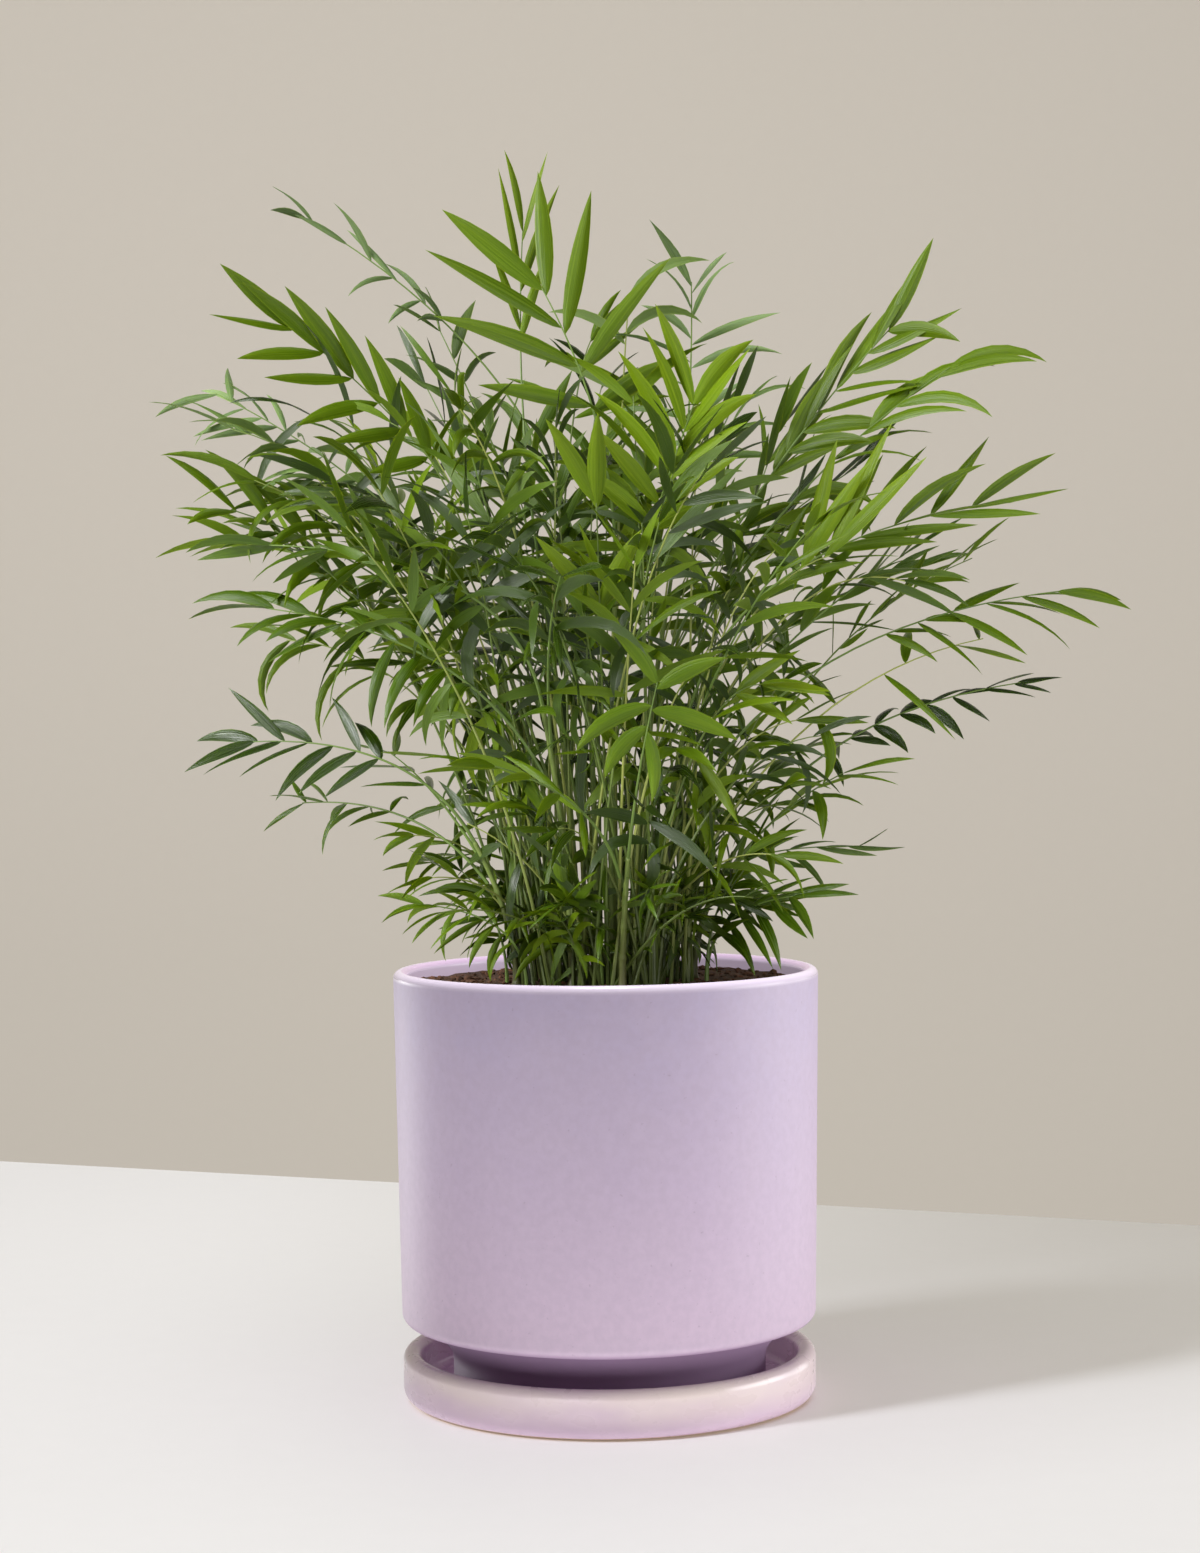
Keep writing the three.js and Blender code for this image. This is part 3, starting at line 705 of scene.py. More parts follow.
def leaf_points(plans):
    """The corners of all leaflets, in millimetres: root, rows of corners, tip.

    A leaflet sets off along way and bends over toward the ground, by bend radians at its tip.
    """
    def column(key):
        return np.array([plan[key] for plan in plans], float)

    root, way, face = column("root"), column("way"), column("face")
    long, wide, bend, sway, twist = (column(k) for k in ("long", "wide", "bend", "sway", "twist"))
    down = unit(np.cross(way, -UP))
    middles, ways = [root], [way]
    for k in range(LEAF_STEPS):
        s = (k + 0.5) / LEAF_STEPS
        heading = turn_about(way, down, bend * s ** BEND_POWER)
        heading = turn_about(heading, unit(np.cross(np.cross(heading, face), heading)), sway * s)
        middles.append(middles[-1] + heading * (long / LEAF_STEPS)[:, None])
        ways.append(heading)
    middles = np.array(middles)

    def middle(s):
        k = min(int(s * LEAF_STEPS), LEAF_STEPS - 1)
        return mix(middles[k], middles[k + 1], s * LEAF_STEPS - k)

    rows = [root[:, None, :]]
    for s in LEAF_STATIONS:
        along = ways[min(int(s * LEAF_STEPS) + 1, LEAF_STEPS)]
        upper = turn_about(face, down, bend * s ** BEND_POWER)
        across = unit(np.cross(along, upper))
        upper = np.cross(across, along)
        turned = (twist * s)[:, None]
        across, upper = (across * np.cos(turned) + upper * np.sin(turned),
                         upper * np.cos(turned) - across * np.sin(turned))
        half = (wide * leaf_width_at(s) / 2)[:, None, None]
        sag = -LEAF_FOLD * np.abs(LEAF_ACROSS)[None, :, None] ** FOLD_POWER
        rise = sag * half + LEAF_THICKNESS / 2 * (1 - LEAF_ACROSS ** 2)[None, :, None]
        rows.append(middle(s)[:, None, :] + across[:, None, :] * LEAF_ACROSS[None, :, None] * half
                    + upper[:, None, :] * rise)
        rows.append((middle(s) - upper * LEAF_THICKNESS / 2)[:, None, :])
    rows.append(middles[-1][:, None, :])
    return keep_inside(np.concatenate(rows, axis=1))


def keep_inside(points):
    """Leaflets that would reach past the solids' box are made smaller about their roots."""
    low, high = (np.array(corner) / MM for corner in CAD_BOX)
    root = points[:, :1, :]
    offset = points - root
    with np.errstate(divide="ignore", invalid="ignore"):
        room = np.where(
            offset > 0, (high - BOX_MARGIN - root) / offset, (low + BOX_MARGIN - root) / offset)
    room = np.where(np.abs(offset) < 1e-6, 1, room).min(axis=(1, 2))
    return root + offset * np.clip(room, 0.1, 1)[:, None, None]


def blade_axes(frond, t):
    """Along the rib, across the blade, and out of its upper face, turned to the front."""
    along = frond["curve"].along(t)
    outward = unit(level(frond["tip"] - frond["curve"].at(0)))
    upper = unit(np.cross(np.cross(outward, UP), along))
    turn = math.radians(frond["wish"]["turn"])
    leaning = upper * math.cos(turn) + FRONT * math.sin(turn)
    face = unit(leaning - along * (leaning @ along))
    return along, face, np.cross(along, face)


def curve_length(curve, start):
    return np.linalg.norm(np.diff(curve.at(np.linspace(start, 1, 9)), axis=0), axis=1).sum()


def plan_leaflets(frond, draws):
    """Where each leaflet of a frond starts, its way, face, length and how it bends and twists."""
    def jitter(name):
        return draws.wobble(LEAF_JITTER[name])

    wish = frond["wish"]
    longest = wish["leaf"]
    blade = curve_length(frond["curve"], 1 - wish["blade"])
    pairs = min(MOST_PAIRS, max(FEWEST_PAIRS, round(blade / (PAIR_SPACING * longest + PAIR_GAP))))
    pairs = wish.get("pairs", pairs)
    loose = wish.get("loose", 0.5)
    vee = wish.get("vee", USUAL_VEE + jitter("vee"))
    lag = draws.next() * LAG / pairs * wish["blade"]
    tone = wish.get("tone", draws.next())
    arch = wish.get("arch", LEAST_ARCH + MORE_ARCH * draws.next() ** 2 * loose)
    breadth = wish["broad"] * LEAF_SLIM * (1 - SLIMMER * draws.next() * loose)
    plans = []
    for i in range(pairs):
        share = i / (pairs - 1)
        for side in (-1, 1):
            if draws.next() < SHED_CHANCE * (loose - SHED_FROM):
                continue
            t = mix(1 - wish["blade"], LAST_SHARE, share) + jitter("share") * loose - (side > 0) * lag
            t = min(MOST_SHARE, t)
            along, face, across = blade_axes(frond, t)
            angle = mix(FIRST_ANGLE * wish["open"], wish.get("fan", LAST_ANGLE * wish["open"]), share)
            angle += jitter("angle") * loose
            angle = math.radians(angle - side * wish.get("sweep", 0))
            swell = SHORTEST + SWELL * math.sin(math.pi * mix(SWELL_FROM, SWELL_TO, share))
            raised = vee + jitter("raised") * loose
            outward = along * math.cos(angle) + across * side * math.sin(angle)
            hang = wish["hang"] * mix(FIRST_HANG, LAST_HANG, share) * (1 + jitter("hang"))
            droop = hang * draws.next() * HANG_SPREAD
            way = unit(outward + face * math.sin(raised) * RAISED_SHARE + UP * (LIFT - droop))
            facing = face * math.cos(raised) - across * side * math.sin(raised)
            facing = unit(facing - way * (facing @ way))
            roll = jitter("roll") * loose
            long = longest * swell * (1 + jitter("long") * loose)
            wide = longest * breadth * mix(NARROWEST, 1, swell) * (1 + jitter("wide"))
            bend = arch + hang * (HANG_BEND + HANG_BEND_MORE * draws.next()) + jitter("bend")
            plans.append(dict(
                root=frond["curve"].at(t), way=way, long=long, wide=wide,
                face=facing * math.cos(roll) + np.cross(way, facing) * math.sin(roll),
                bend=min(MOST_BEND, max(LEAST_BEND, bend)),
                sway=jitter("sway") * loose, twist=jitter("twist") * loose,
                tone=min(1, max(0, tone + jitter("tone"))),
            ))
    return plans


# Materials
class Nodes:
    """A material's node tree, with the helpers that the finishes below share.

    Its colour starts from a ground colour, and lay puts one colour after another over it.
    """

    def __init__(self, name, ground):
        self.material = bpy.data.materials.new(name)
        self.material.use_nodes = True
        self.tree = self.material.node_tree
        self.shader = self.tree.nodes["Principled BSDF"]
        self.toned = ground

    def feed(self, socket, value):
        """Gives a socket a number or colour of its own, or links another node's output to it."""
        if isinstance(value, bpy.types.NodeSocket):
            self.tree.links.new(value, socket)
        else:
            socket.default_value = value

    def set(self, **inputs):
        for name, value in inputs.items():
            self.feed(self.shader.inputs[name.replace("_", " ")], value)

    def add(self, kind, output, settings=None, **inputs):
        """One output of a new node."""
        node = self.tree.nodes.new(kind)
        for key, value in (settings or {}).items():
            setattr(node, key, value)
        for name, value in inputs.items():
            self.feed(node.inputs[name.replace("_", " ")], value)
        return node.outputs[output]

    def coordinates(self, output="Object", scale=(1, 1, 1)):
        source = self.add("ShaderNodeTexCoord", output)
        return self.add("ShaderNodeMapping", "Vector", Vector=source, Scale=scale)

    def axis(self, vector, name):
        return self.add("ShaderNodeSeparateXYZ", name, Vector=vector)

    def tone(self):
        """The number that joined_copies gave to each copy."""
        return self.add("ShaderNodeAttribute", "Fac", {"attribute_name": "tone"})

    def noise(self, vector, scale, detail=3, roughness=0.5):
        return self.add("ShaderNodeTexNoise", "Fac", Vector=vector, Scale=scale, Detail=detail,
                        Roughness=roughness)

    def cloud(self, vector, scale, detail, low, high, roughness=0.5):
        """Noise with its contrast raised: 0 up to low and 1 from high on."""
        return self.remap(self.noise(vector, scale, detail, roughness), low, high)

    def remap(self, value, low, high, to_low=0, to_high=1):
        return self.add("ShaderNodeMapRange", "Result", Value=value, From_Min=low, From_Max=high,
                        To_Min=to_low, To_Max=to_high)

    def lay(self, colour, value, low=0, high=1, most=1):
        """Lays a colour over the ones before it: none where value is low, most where it is high."""
        node = self.tree.nodes.new("ShaderNodeMix")
        node.data_type = "RGBA"
        self.feed(node.inputs["Factor"], self.remap(value, low, high, 0, most))
        first, second = (socket for socket in node.inputs if socket.type == "RGBA")
        self.feed(first, self.toned)
        self.feed(second, colour)
        self.toned = next(socket for socket in node.outputs if socket.type == "RGBA")
        self.set(Base_Color=self.toned)

    def roughen(self, value, smooth, rough):
        self.set(Roughness=self.remap(value, 0, 1, smooth, rough))

    def bump(self, height, strength, distance):
        self.set(Normal=self.add("ShaderNodeBump", "Normal", Height=height, Strength=strength,
                                 Distance=distance))


# Each green: its colour, its paler vein colour, roughness and gloss
LEAF_TINTS = {
    "lime": (srgb(92, 120, 2), srgb(130, 152, 24), 0.32, 0.22),
    "fresh": (srgb(78, 106, 1), srgb(110, 134, 12), 0.3, 0.25),
    "green": (srgb(60, 88, 1), srgb(90, 116, 12), 0.24, 0.4),
    "deep": (srgb(36, 56, 2), srgb(62, 86, 12), 0.19, 0.55),
    "dull": (srgb(82, 110, 40), srgb(120, 142, 74), 0.36, 0.35),
    "wan": (srgb(104, 132, 72), srgb(138, 160, 104), 0.42, 0.3),
}
FILL_TINTS = ["green", "fresh", "deep", "green", "deep", "fresh", "green"]
INNER_TINTS = ["green", "deep", "fresh", "green", "lime", "deep", "green", "fresh", "deep"]
LOW_TINTS = ["green", "fresh", "green", "deep", "fresh", "green"]


def mixed(first, second, share):
    return tuple(mix(a, b, share) for a, b in zip(first, second))


def darker(colour, share):
    return tuple(c * share for c in colour[:3]) + (1,)


def leaf_finish(tint, under):
    """Satin green with fine lengthwise veins, each leaflet of its own tone, paler underneath."""
    base, pale, roughness, gloss = LEAF_TINTS[tint]
    deep = darker(base, 0.5)
    if under:
        deep, base = base, mixed(base, pale, 0.5)
    nodes = Nodes(f"leaf {tint} {'underside' if under else 'upper'}", deep)
    tone = nodes.tone()
    grain = nodes.add(
        "ShaderNodeTexNoise", "Fac", {"noise_dimensions": "4D"}, Scale=1.6, Detail=2,
        Vector=nodes.coordinates("UV", (8, 0.45, 1)), W=nodes.remap(tone, 0, 1, 0, 60),
    )
    veins = nodes.remap(grain, 0.38, 0.64)
    nodes.lay(base, tone, 0, 0.9)
    # Painted shade: each leaflet darker toward its root and paler toward its tip.
    nodes.lay(pale, nodes.axis(nodes.coordinates("UV"), "Y"), 0.3, 1, 0.3)
    nodes.lay(pale, veins, most=0.42)
    if under:
        nodes.set(Roughness=roughness + 0.16)
    else:
        nodes.roughen(veins, roughness, roughness + 0.16)
    nodes.bump(veins, 0.3, 0.0004)
    nodes.set(
        Specular_IOR_Level=gloss, Subsurface_Weight=0.25, Subsurface_Scale=0.0006,
        Subsurface_Radius=(0.9, 1, 0.15),
    )
    return nodes.material


def streaked_finish(name, grain, patches, greens, streaked, rough, bumps, old=None, foot=None):
    """A smooth cane or stalk: patches of a second green under lengthwise streaks.

    grain: the streaks' scale round the stalk and along it, then their noise's scale and detail.
    patches: their scale and how much they show. streaked: how much the streaks show, and their colour.
    rough: roughness beside the streaks and on them. bumps: how strong and how deep the streaks stand.
    old: the oldest stalks' colour. foot: a darker colour at the soil, painted shade under the crown, and
    the height in metres where it ends.
    """
    nodes = Nodes(name, greens[0])
    streaks = nodes.cloud(nodes.coordinates("UV", (*grain[:2], 1)), *grain[2:], 0.35, 0.68)
    nodes.lay(greens[1], nodes.cloud(nodes.coordinates(), patches[0], 2, 0.3, 0.7), most=patches[1])
    if old:
        nodes.lay(old, nodes.tone(), 0.5, 0.85)
    nodes.lay(streaked[1], streaks, most=streaked[0])
    if foot:
        # Painted shade: darker toward the soil, where the crown shades the foot.
        nodes.lay(foot[0], nodes.axis(nodes.coordinates(), "Z"), foot[1], GROUND * MM)
    nodes.roughen(streaks, *rough)
    nodes.bump(streaks, *bumps)
    return nodes.material


def cane_finish():
    return streaked_finish(
        "green cane", (9, 0.5, 2.2, 3), (26, 0.6), (srgb(108, 130, 50), srgb(74, 98, 30)),
        (0.5, srgb(166, 180, 100)), (0.4, 0.6), (0.2, 0.0004), foot=(srgb(78, 78, 40), 0.26),
    )


def stalk_finish():
    """Stalks that rise from the soil: most are green, some a pale yellow-green."""
    return streaked_finish(
        "pale leaf stalk", (7, 0.4, 2, 2), (24, 1), (srgb(68, 92, 22), srgb(98, 122, 40)),
        (0.4, srgb(150, 164, 92)), (0.36, 0.52), (0.15, 0.0003),
        old=srgb(166, 174, 84), foot=(srgb(74, 88, 34), 0.29),
    )


def rib_finish():
    return streaked_finish(
        "frond rib", (7, 0.4, 2, 2), (18, 0.7), (srgb(104, 132, 50), srgb(70, 98, 38)),
        (0.4, srgb(140, 158, 84)), (0.42, 0.58), (0.15, 0.0003),
    )


def glaze_finish():
    """Matte lilac glaze, bluer toward the rim, with painted shade at the foot and on the lip's inner slope.
    """
    nodes = Nodes("matte lilac glaze", srgb(209, 187, 209))
    place = nodes.coordinates()
    z = nodes.axis(place, "Z")
    # Bluer and a little darker toward the rim: partly the glaze's tint, partly painted cool shade from
    # above.
    nodes.lay(srgb(195, 181, 209), z, 0.05, 0.2)
    nodes.lay(srgb(206, 188, 208), nodes.cloud(place, 34, 4, 0.35, 0.65, 0.6), most=0.3)
    nodes.lay(srgb(182, 164, 187), nodes.cloud(place, 240, 3, 0.35, 0.65, 0.6), most=0.25)
    nodes.lay(srgb(160, 138, 164), nodes.cloud(place, 420, 2, 0.7, 0.78), most=0.4)
    # A paler, glossier lip: the glaze thins at the edge, and the paler colour is partly a painted highlight
    # along it.
    lip = nodes.remap(z, 0.2125, 0.2145)
    nodes.lay(srgb(222, 208, 228), lip)
    level_place = nodes.coordinates(scale=(1, 1, 0))
    from_axis = nodes.add("ShaderNodeVectorMath", "Value", {"operation": "LENGTH"}, Vector=level_place)
    # Painted shade: mauve within this radius, which takes the lip's inner slope.
    nodes.lay(srgb(202, 176, 204), from_axis, 0.1045, 0.1035)
    # Painted light: paler lilac within this radius, on the pot's shaded inner wall.
    nodes.lay(srgb(216, 196, 222), from_axis, 0.1016, 0.1011)
    # Painted shade: dark mauve at the foot, under the shoulder.
    nodes.lay(srgb(148, 122, 152), z, 0.042, 0.036)
    nodes.roughen(lip, 0.55, 0.2)
    nodes.bump(nodes.noise(place, 260, 2), 0.05, 0.0004)
    nodes.set(Specular_IOR_Level=0.5)
    return nodes.material


def saucer_finish():
    """Glossier pinkish lilac glaze that breaks to cream in drifts, with a bare tan line at its foot."""
    nodes = Nodes("glossy lilac glaze", srgb(232, 206, 228))
    drifts = nodes.cloud(nodes.coordinates(scale=(1, 1, 3)), 13, 2, 0.36, 0.66)
    fine = nodes.cloud(nodes.coordinates(scale=(1, 1, 2)), 60, 3, 0.35, 0.7)
    z = nodes.axis(nodes.coordinates(), "Z")
    nodes.lay(srgb(230, 208, 217), z, 0.003, 0.017)
    nodes.lay(srgb(206, 176, 208), fine, most=0.3)
    cream = nodes.add("ShaderNodeMath", "Value", {"operation": "MULTIPLY"}, Value=drifts)
    nodes.feed(cream.node.inputs[1], nodes.remap(z, 0.004, 0.02, 0.05, 0.9))
    nodes.lay(srgb(240, 224, 218), cream)
    nodes.lay(srgb(222, 180, 140), z, 0.0017, 0.001)
    nodes.roughen(fine, 0.24, 0.36)
    nodes.bump(nodes.noise(nodes.coordinates(), 90, 2), 0.06, 0.0006)
    nodes.set(Coat_Weight=0.4, Coat_Roughness=0.12)
    return nodes.material


def soil_finish(name, dark, light):
    nodes = Nodes(name, dark)
    place = nodes.coordinates()
    fine = nodes.cloud(place, 700, 3, 0.4, 0.66)
    nodes.lay(light, nodes.cloud(place, 180, 4, 0.35, 0.65, 0.65))
    nodes.lay(srgb(120, 84, 62), fine, most=0.4)
    nodes.roughen(fine, 0.85, 0.97)
    nodes.bump(nodes.noise(place, 320, 4, 0.7), 0.8, 0.0018)
    return nodes.material


def plain_finish(name, colour, roughness):
    """A stage surface: one plain colour with the faintest cloud in it."""
    nodes = Nodes(name, colour)
    nodes.lay(darker(colour, 0.8), nodes.noise(nodes.coordinates(), 60), 0.3, 0.7, 0.04)
    nodes.set(Roughness=roughness)
    return nodes.material


# Pot, saucer and soil
TURN_STEPS, SOIL_TURN_STEPS, SOIL_ROWS = 128, 96, 24
TURNED_SHARP_DEGREES = 38
FOOT_ROUND, FOOT_HOLLOW, FOOT_COVE = 1.2, 12, 1.5
SAUCER_SIDE, SAUCER_COVE = 1.35, 4

# How far the pot's wall swells past its lower radius at three heights
POT_SWELL = [(0.7, 85), (1.4, 130), (2.3, 185)]

# Lumps of the soil: their fineness and height in metres. They grow calmer toward its edge, from this share
# of its radius on and over this share, by so much. The whole top sinks a little.
SOIL_LUMPS = [(70, 0.0012), (190, 0.0011)]
SOIL_EDGE, SOIL_EDGE_WIDTH, SOIL_EDGE_CALM, SOIL_SINK = 0.8, 0.2, 0.4, 0.0006

# Crumbs on the soil: how many, how their radii spread, the least and the most, how lumpy they are, how each
# is stretched at least and at most, and how high and deep it lies
CRUMBS, CRUMB_SEED = 1500, 71
CRUMB_SPREAD = (2.2, 0.42)
CRUMB_LEAST, CRUMB_MOST = 0.5, 2.6
CRUMB_LUMP = 0.3
CRUMB_STRETCH = [0.7, 0.6, 0.4], [1.5, 1.1, 0.8]
CRUMB_RISE, CRUMB_SINK = 0.25, 0.6


def arc(centre, radius, from_degrees, to_degrees, steps):
    """Points round a centre, as (radius, height) pairs."""
    angles = np.radians(np.linspace(from_degrees, to_degrees, steps + 1))
    return [(centre[0] + radius * math.cos(a), centre[1] + radius * math.sin(a)) for a in angles]


def turned(name, outline, steps, material, rough=None):
    """A solid of revolution from an outline of (radius, height) pairs in millimetres.

    rough: how far a corner is raised, in metres, from where it stands.
    """
    bm = bmesh.new()
    corners = [bm.verts.new((radius * MM, 0, height * MM)) for radius, height in outline]
    edges = [bm.edges.new(pair) for pair in zip(corners, corners[1:])]
    if outline[0] != outline[-1] and min(outline[0][0], outline[-1][0]) > 0:
        edges.append(bm.edges.new((corners[-1], corners[0])))
    bmesh.ops.spin(
        bm, geom=corners + edges, axis=(0, 0, 1), cent=(0, 0, 0), dvec=(0, 0, 0),
        angle=2 * math.pi, steps=steps, use_merge=True, use_duplicate=False,
    )
    bmesh.ops.remove_doubles(bm, verts=bm.verts, dist=1e-6)
    bmesh.ops.recalc_face_normals(bm, faces=bm.faces)
    if rough:
        for vertex in bm.verts:
            vertex.co.z += rough(vertex.co)
    for face in bm.faces:
        face.smooth = True
    mesh = bpy.data.meshes.new(name)
    bm.to_mesh(mesh)
    bm.free()
    mesh.set_sharp_from_angle(angle=math.radians(TURNED_SHARP_DEGREES))
    mesh.materials.append(material)
    return add_object(name, mesh)


def make_pot(material):
    """Straight wall with a soft lip, over a narrower foot that stands in the saucer."""
    foot_z = SAUCER_FLOOR + CLEARANCE
    foot = POT_FOOT_RADIUS - POT_FOOT_TAPER
    lip = POT_WALL / 2
    floor_top = foot_z + POT_FLOOR
    inner_foot = foot - POT_WALL
    round_centre = (POT_BOTTOM_RADIUS - POT_SHOULDER_ROUND, POT_SHOULDER + POT_SHOULDER_ROUND)
    outline = [
        (POT_DRAIN_RADIUS, foot_z),
        *arc((foot - FOOT_ROUND, foot_z + FOOT_ROUND), FOOT_ROUND, -90, 0, 4),
        *arc((foot + FOOT_HOLLOW, POT_SHOULDER * 0.5), FOOT_HOLLOW, 180, 140, 4),
        *arc((POT_FOOT_RADIUS + FOOT_COVE, POT_SHOULDER - FOOT_COVE), FOOT_COVE, 180, 90, 4),
        *arc(round_centre, POT_SHOULDER_ROUND, -90, 0, 8),
        *[(POT_BOTTOM_RADIUS + swell, height) for swell, height in POT_SWELL],
        *arc((POT_TOP_RADIUS - lip, POT_HEIGHT - lip), lip, 0, 180, 14),
        (POT_BOTTOM_RADIUS - POT_WALL, POT_SHOULDER + POT_WALL),
        (inner_foot, POT_SHOULDER),
        (inner_foot, floor_top),
        (POT_DRAIN_RADIUS, floor_top),
    ]
    pot = turned("glazed_pot", outline, TURN_STEPS, material)
    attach(pot, "root")
    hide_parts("pot")


def make_saucer(material):
    """A shallow dish with a thick rounded rim and a flat base."""
    bulge = SAUCER_RIM / 2
    side = bulge * SAUCER_SIDE
    inner = SAUCER_RADIUS - SAUCER_RIM
    outline = [
        (0, 0),
        (SAUCER_BASE_RADIUS - 1, 0),
        *arc((SAUCER_RADIUS - side, side), side, -52, 0, 8),
        *arc((SAUCER_RADIUS - bulge, SAUCER_HEIGHT - bulge), bulge, 0, 180, 14),
        *arc((inner - SAUCER_COVE, SAUCER_FLOOR + SAUCER_COVE), SAUCER_COVE, 0, -90, 6),
        (0, SAUCER_FLOOR),
    ]
    saucer = turned("glazed_saucer", outline, TURN_STEPS, material)
    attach(saucer, "root")
    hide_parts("saucer")


def make_soil(material):
    """Loose potting mix with a lumpy top."""
    floor = SAUCER_FLOOR + POT_FLOOR + CLEARANCE * 2
    inner_foot = POT_FOOT_RADIUS - POT_FOOT_TAPER - POT_WALL - CLEARANCE * 2
    top = [(SOIL_RADIUS * i / SOIL_ROWS, GROUND) for i in range(SOIL_ROWS, -1, -1)]
    outline = [
        (0, floor),
        (inner_foot, floor),
        (inner_foot, POT_SHOULDER + 1),
        (POT_BOTTOM_RADIUS - POT_WALL - 1.4, POT_SHOULDER + POT_WALL + 1),
        (SOIL_RADIUS, GROUND - 3),
        *top,
    ]

    def lumps(place):
        if place.z < (GROUND - 1) * MM:
            return 0
        edge = max(0, place.xy.length / (SOIL_RADIUS * MM) - SOIL_EDGE) / SOIL_EDGE_WIDTH
        lump = sum(noise.noise(place * fineness) * height for fineness, height in SOIL_LUMPS)
        return lump * (1 - SOIL_EDGE_CALM * edge) - SOIL_SINK

    soil = turned("potting_mix", outline, SOIL_TURN_STEPS, material, lumps)
    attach(soil, "root")
    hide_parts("soil")


def strew_crumbs(material):
    """Crumbs of the mix, each a small lumpy ball, stretched and turned its own way."""
    draws = np.random.default_rng(CRUMB_SEED)
    bm = bmesh.new()
    bmesh.ops.create_icosphere(bm, subdivisions=1, radius=1)
    ball = np.array([vertex.co[:] for vertex in bm.verts])
    faces = [tuple(vertex.index for vertex in face.verts) for face in bm.faces]
    bm.free()
    reach = (SOIL_RADIUS - 3) * np.sqrt(draws.random(CRUMBS))
    angle = draws.random(CRUMBS) * 2 * np.pi
    size = draws.gamma(*CRUMB_SPREAD, CRUMBS).clip(CRUMB_LEAST, CRUMB_MOST)
    height = GROUND + size * CRUMB_RISE - CRUMB_SINK
    centre = np.stack([reach * np.cos(angle), reach * np.sin(angle), height], 1)
    lumpy = ball[None] * (1 + draws.uniform(-CRUMB_LUMP, CRUMB_LUMP, (CRUMBS, len(ball), 1)))
    stretch = draws.uniform(*CRUMB_STRETCH, (CRUMBS, 3))
    spin = draws.random(CRUMBS) * 2 * np.pi
    lumpy = lumpy * stretch[:, None, :] * size[:, None, None]
    x = lumpy[..., 0] * np.cos(spin)[:, None] - lumpy[..., 1] * np.sin(spin)[:, None]
    y = lumpy[..., 0] * np.sin(spin)[:, None] + lumpy[..., 1] * np.cos(spin)[:, None]
    points = np.stack([x, y, lumpy[..., 2]], -1) + centre[:, None, :]
    crumbs = joined_copies("soil_crumbs", points * MM, faces)
    crumbs.data.materials.append(material)
    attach(crumbs, "root")


# The palm
CANE_RINGS, CANE_SIDES, CANE_SLIM = 64, 10, 0.66
RIB_RINGS, RIB_SIDES = 20, 6
GOLDEN_SHARE = 0.618
RIB_END_RADIUS, RIB_FOOT_RADIUS, INNER_STALK_RADIUS = 0.3, 1.0, 1.05
RIB_TAPER = 0.7

# A cane flares within these millimetres of the soil. Its rings stand so far apart, and each is a swelling
# of this share of its radius and of so many millimetres.
FLARE_LENGTH = 4
RING_SPACING, RING_SWELL, RING_LENGTH = 17, 0.2, 0.9


def joined_tubes(name, curves, radii, sides, material, tones=None):
    """A tube along each curve, one mesh. radii: a row for each curve, from its start to its end."""
    rings = radii.shape[1]
    shares = np.linspace(0, 1, rings)
    copies = np.array([tube_points(curve, shares, row, sides) for curve, row in zip(curves, radii)])
    uvs = np.array([tube_uvs(rings, sides, curve_length(curve, 0)) for curve in curves])
    tubes = joined_copies(name, copies * MM, tube_faces(rings, sides), uvs, None, tones)
    tubes.data.materials.append(material)
    return tubes


def make_canes(stems, material):
    """Ringed canes, flared at the soil, one mesh for the whole clump."""
    curves = [stem["curve"] for stem in stems]
    shares = np.linspace(0, 1, CANE_RINGS)
    radii = []
    for curve in curves:
        up = shares * curve_length(curve, 0)
        flare = 1 + (STEM_FLARE - 1) * np.exp(-up / FLARE_LENGTH)
        from_ring = np.abs((up / RING_SPACING + 0.5) % 1 - 0.5) * RING_SPACING
        swelling = 1 + RING_SWELL * np.exp(-(from_ring / RING_LENGTH) ** 2)
        radii.append(mix(STEM_FOOT_RADIUS, STEM_TIP_RADIUS, shares) * flare * swelling * CANE_SLIM)
    canes = joined_tubes("ringed_canes", curves, np.array(radii), CANE_SIDES, material)
    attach(canes, "root")
    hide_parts(*[stem["name"] for stem in stems])


def make_ribs(name, fronds, foot_radius, material):
    """Stalks and ribs of the fronds, one mesh."""
    taper = mix(foot_radius, RIB_END_RADIUS, np.linspace(0, 1, RIB_RINGS) ** RIB_TAPER)
    tones = np.modf(np.arange(len(fronds)) * GOLDEN_SHARE)[0]
    curves = [frond["curve"] for frond in fronds]
    ribs = joined_tubes(name, curves, np.tile(taper, (len(fronds), 1)), RIB_SIDES, material, tones)
    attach(ribs, "root")


def make_leaves(fronds, inner):
    """Leaflets, one mesh for each green, in place of the solids' fronds."""
    draws = Draws(LEAF_SEED)
    plans, nodes = {}, {}
    fill = 0
    for i, frond in enumerate(fronds + inner):
        tint = frond["wish"]["tint"]
        if tint == "fill":
            tint = FILL_TINTS[fill % len(FILL_TINTS)]
            fill += 1
        plans.setdefault(tint, []).extend(plan_leaflets(frond, draws))
        if i < len(fronds):
            nodes.setdefault(tint, []).append(f"frond_{i + 1:02d}")
    faces, slots = leaf_faces()
    for tint, leaflets in plans.items():
        tones = np.array([leaflet["tone"] for leaflet in leaflets])
        leaves = joined_copies(
            f"leaflets_{tint}", leaf_points(leaflets) * MM, faces, leaf_uvs(), slots, tones)
        leaves.data.materials.append(leaf_finish(tint, False))
        leaves.data.materials.append(leaf_finish(tint, True))
        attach(leaves, "root")
        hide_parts(*nodes.get(tint, []))


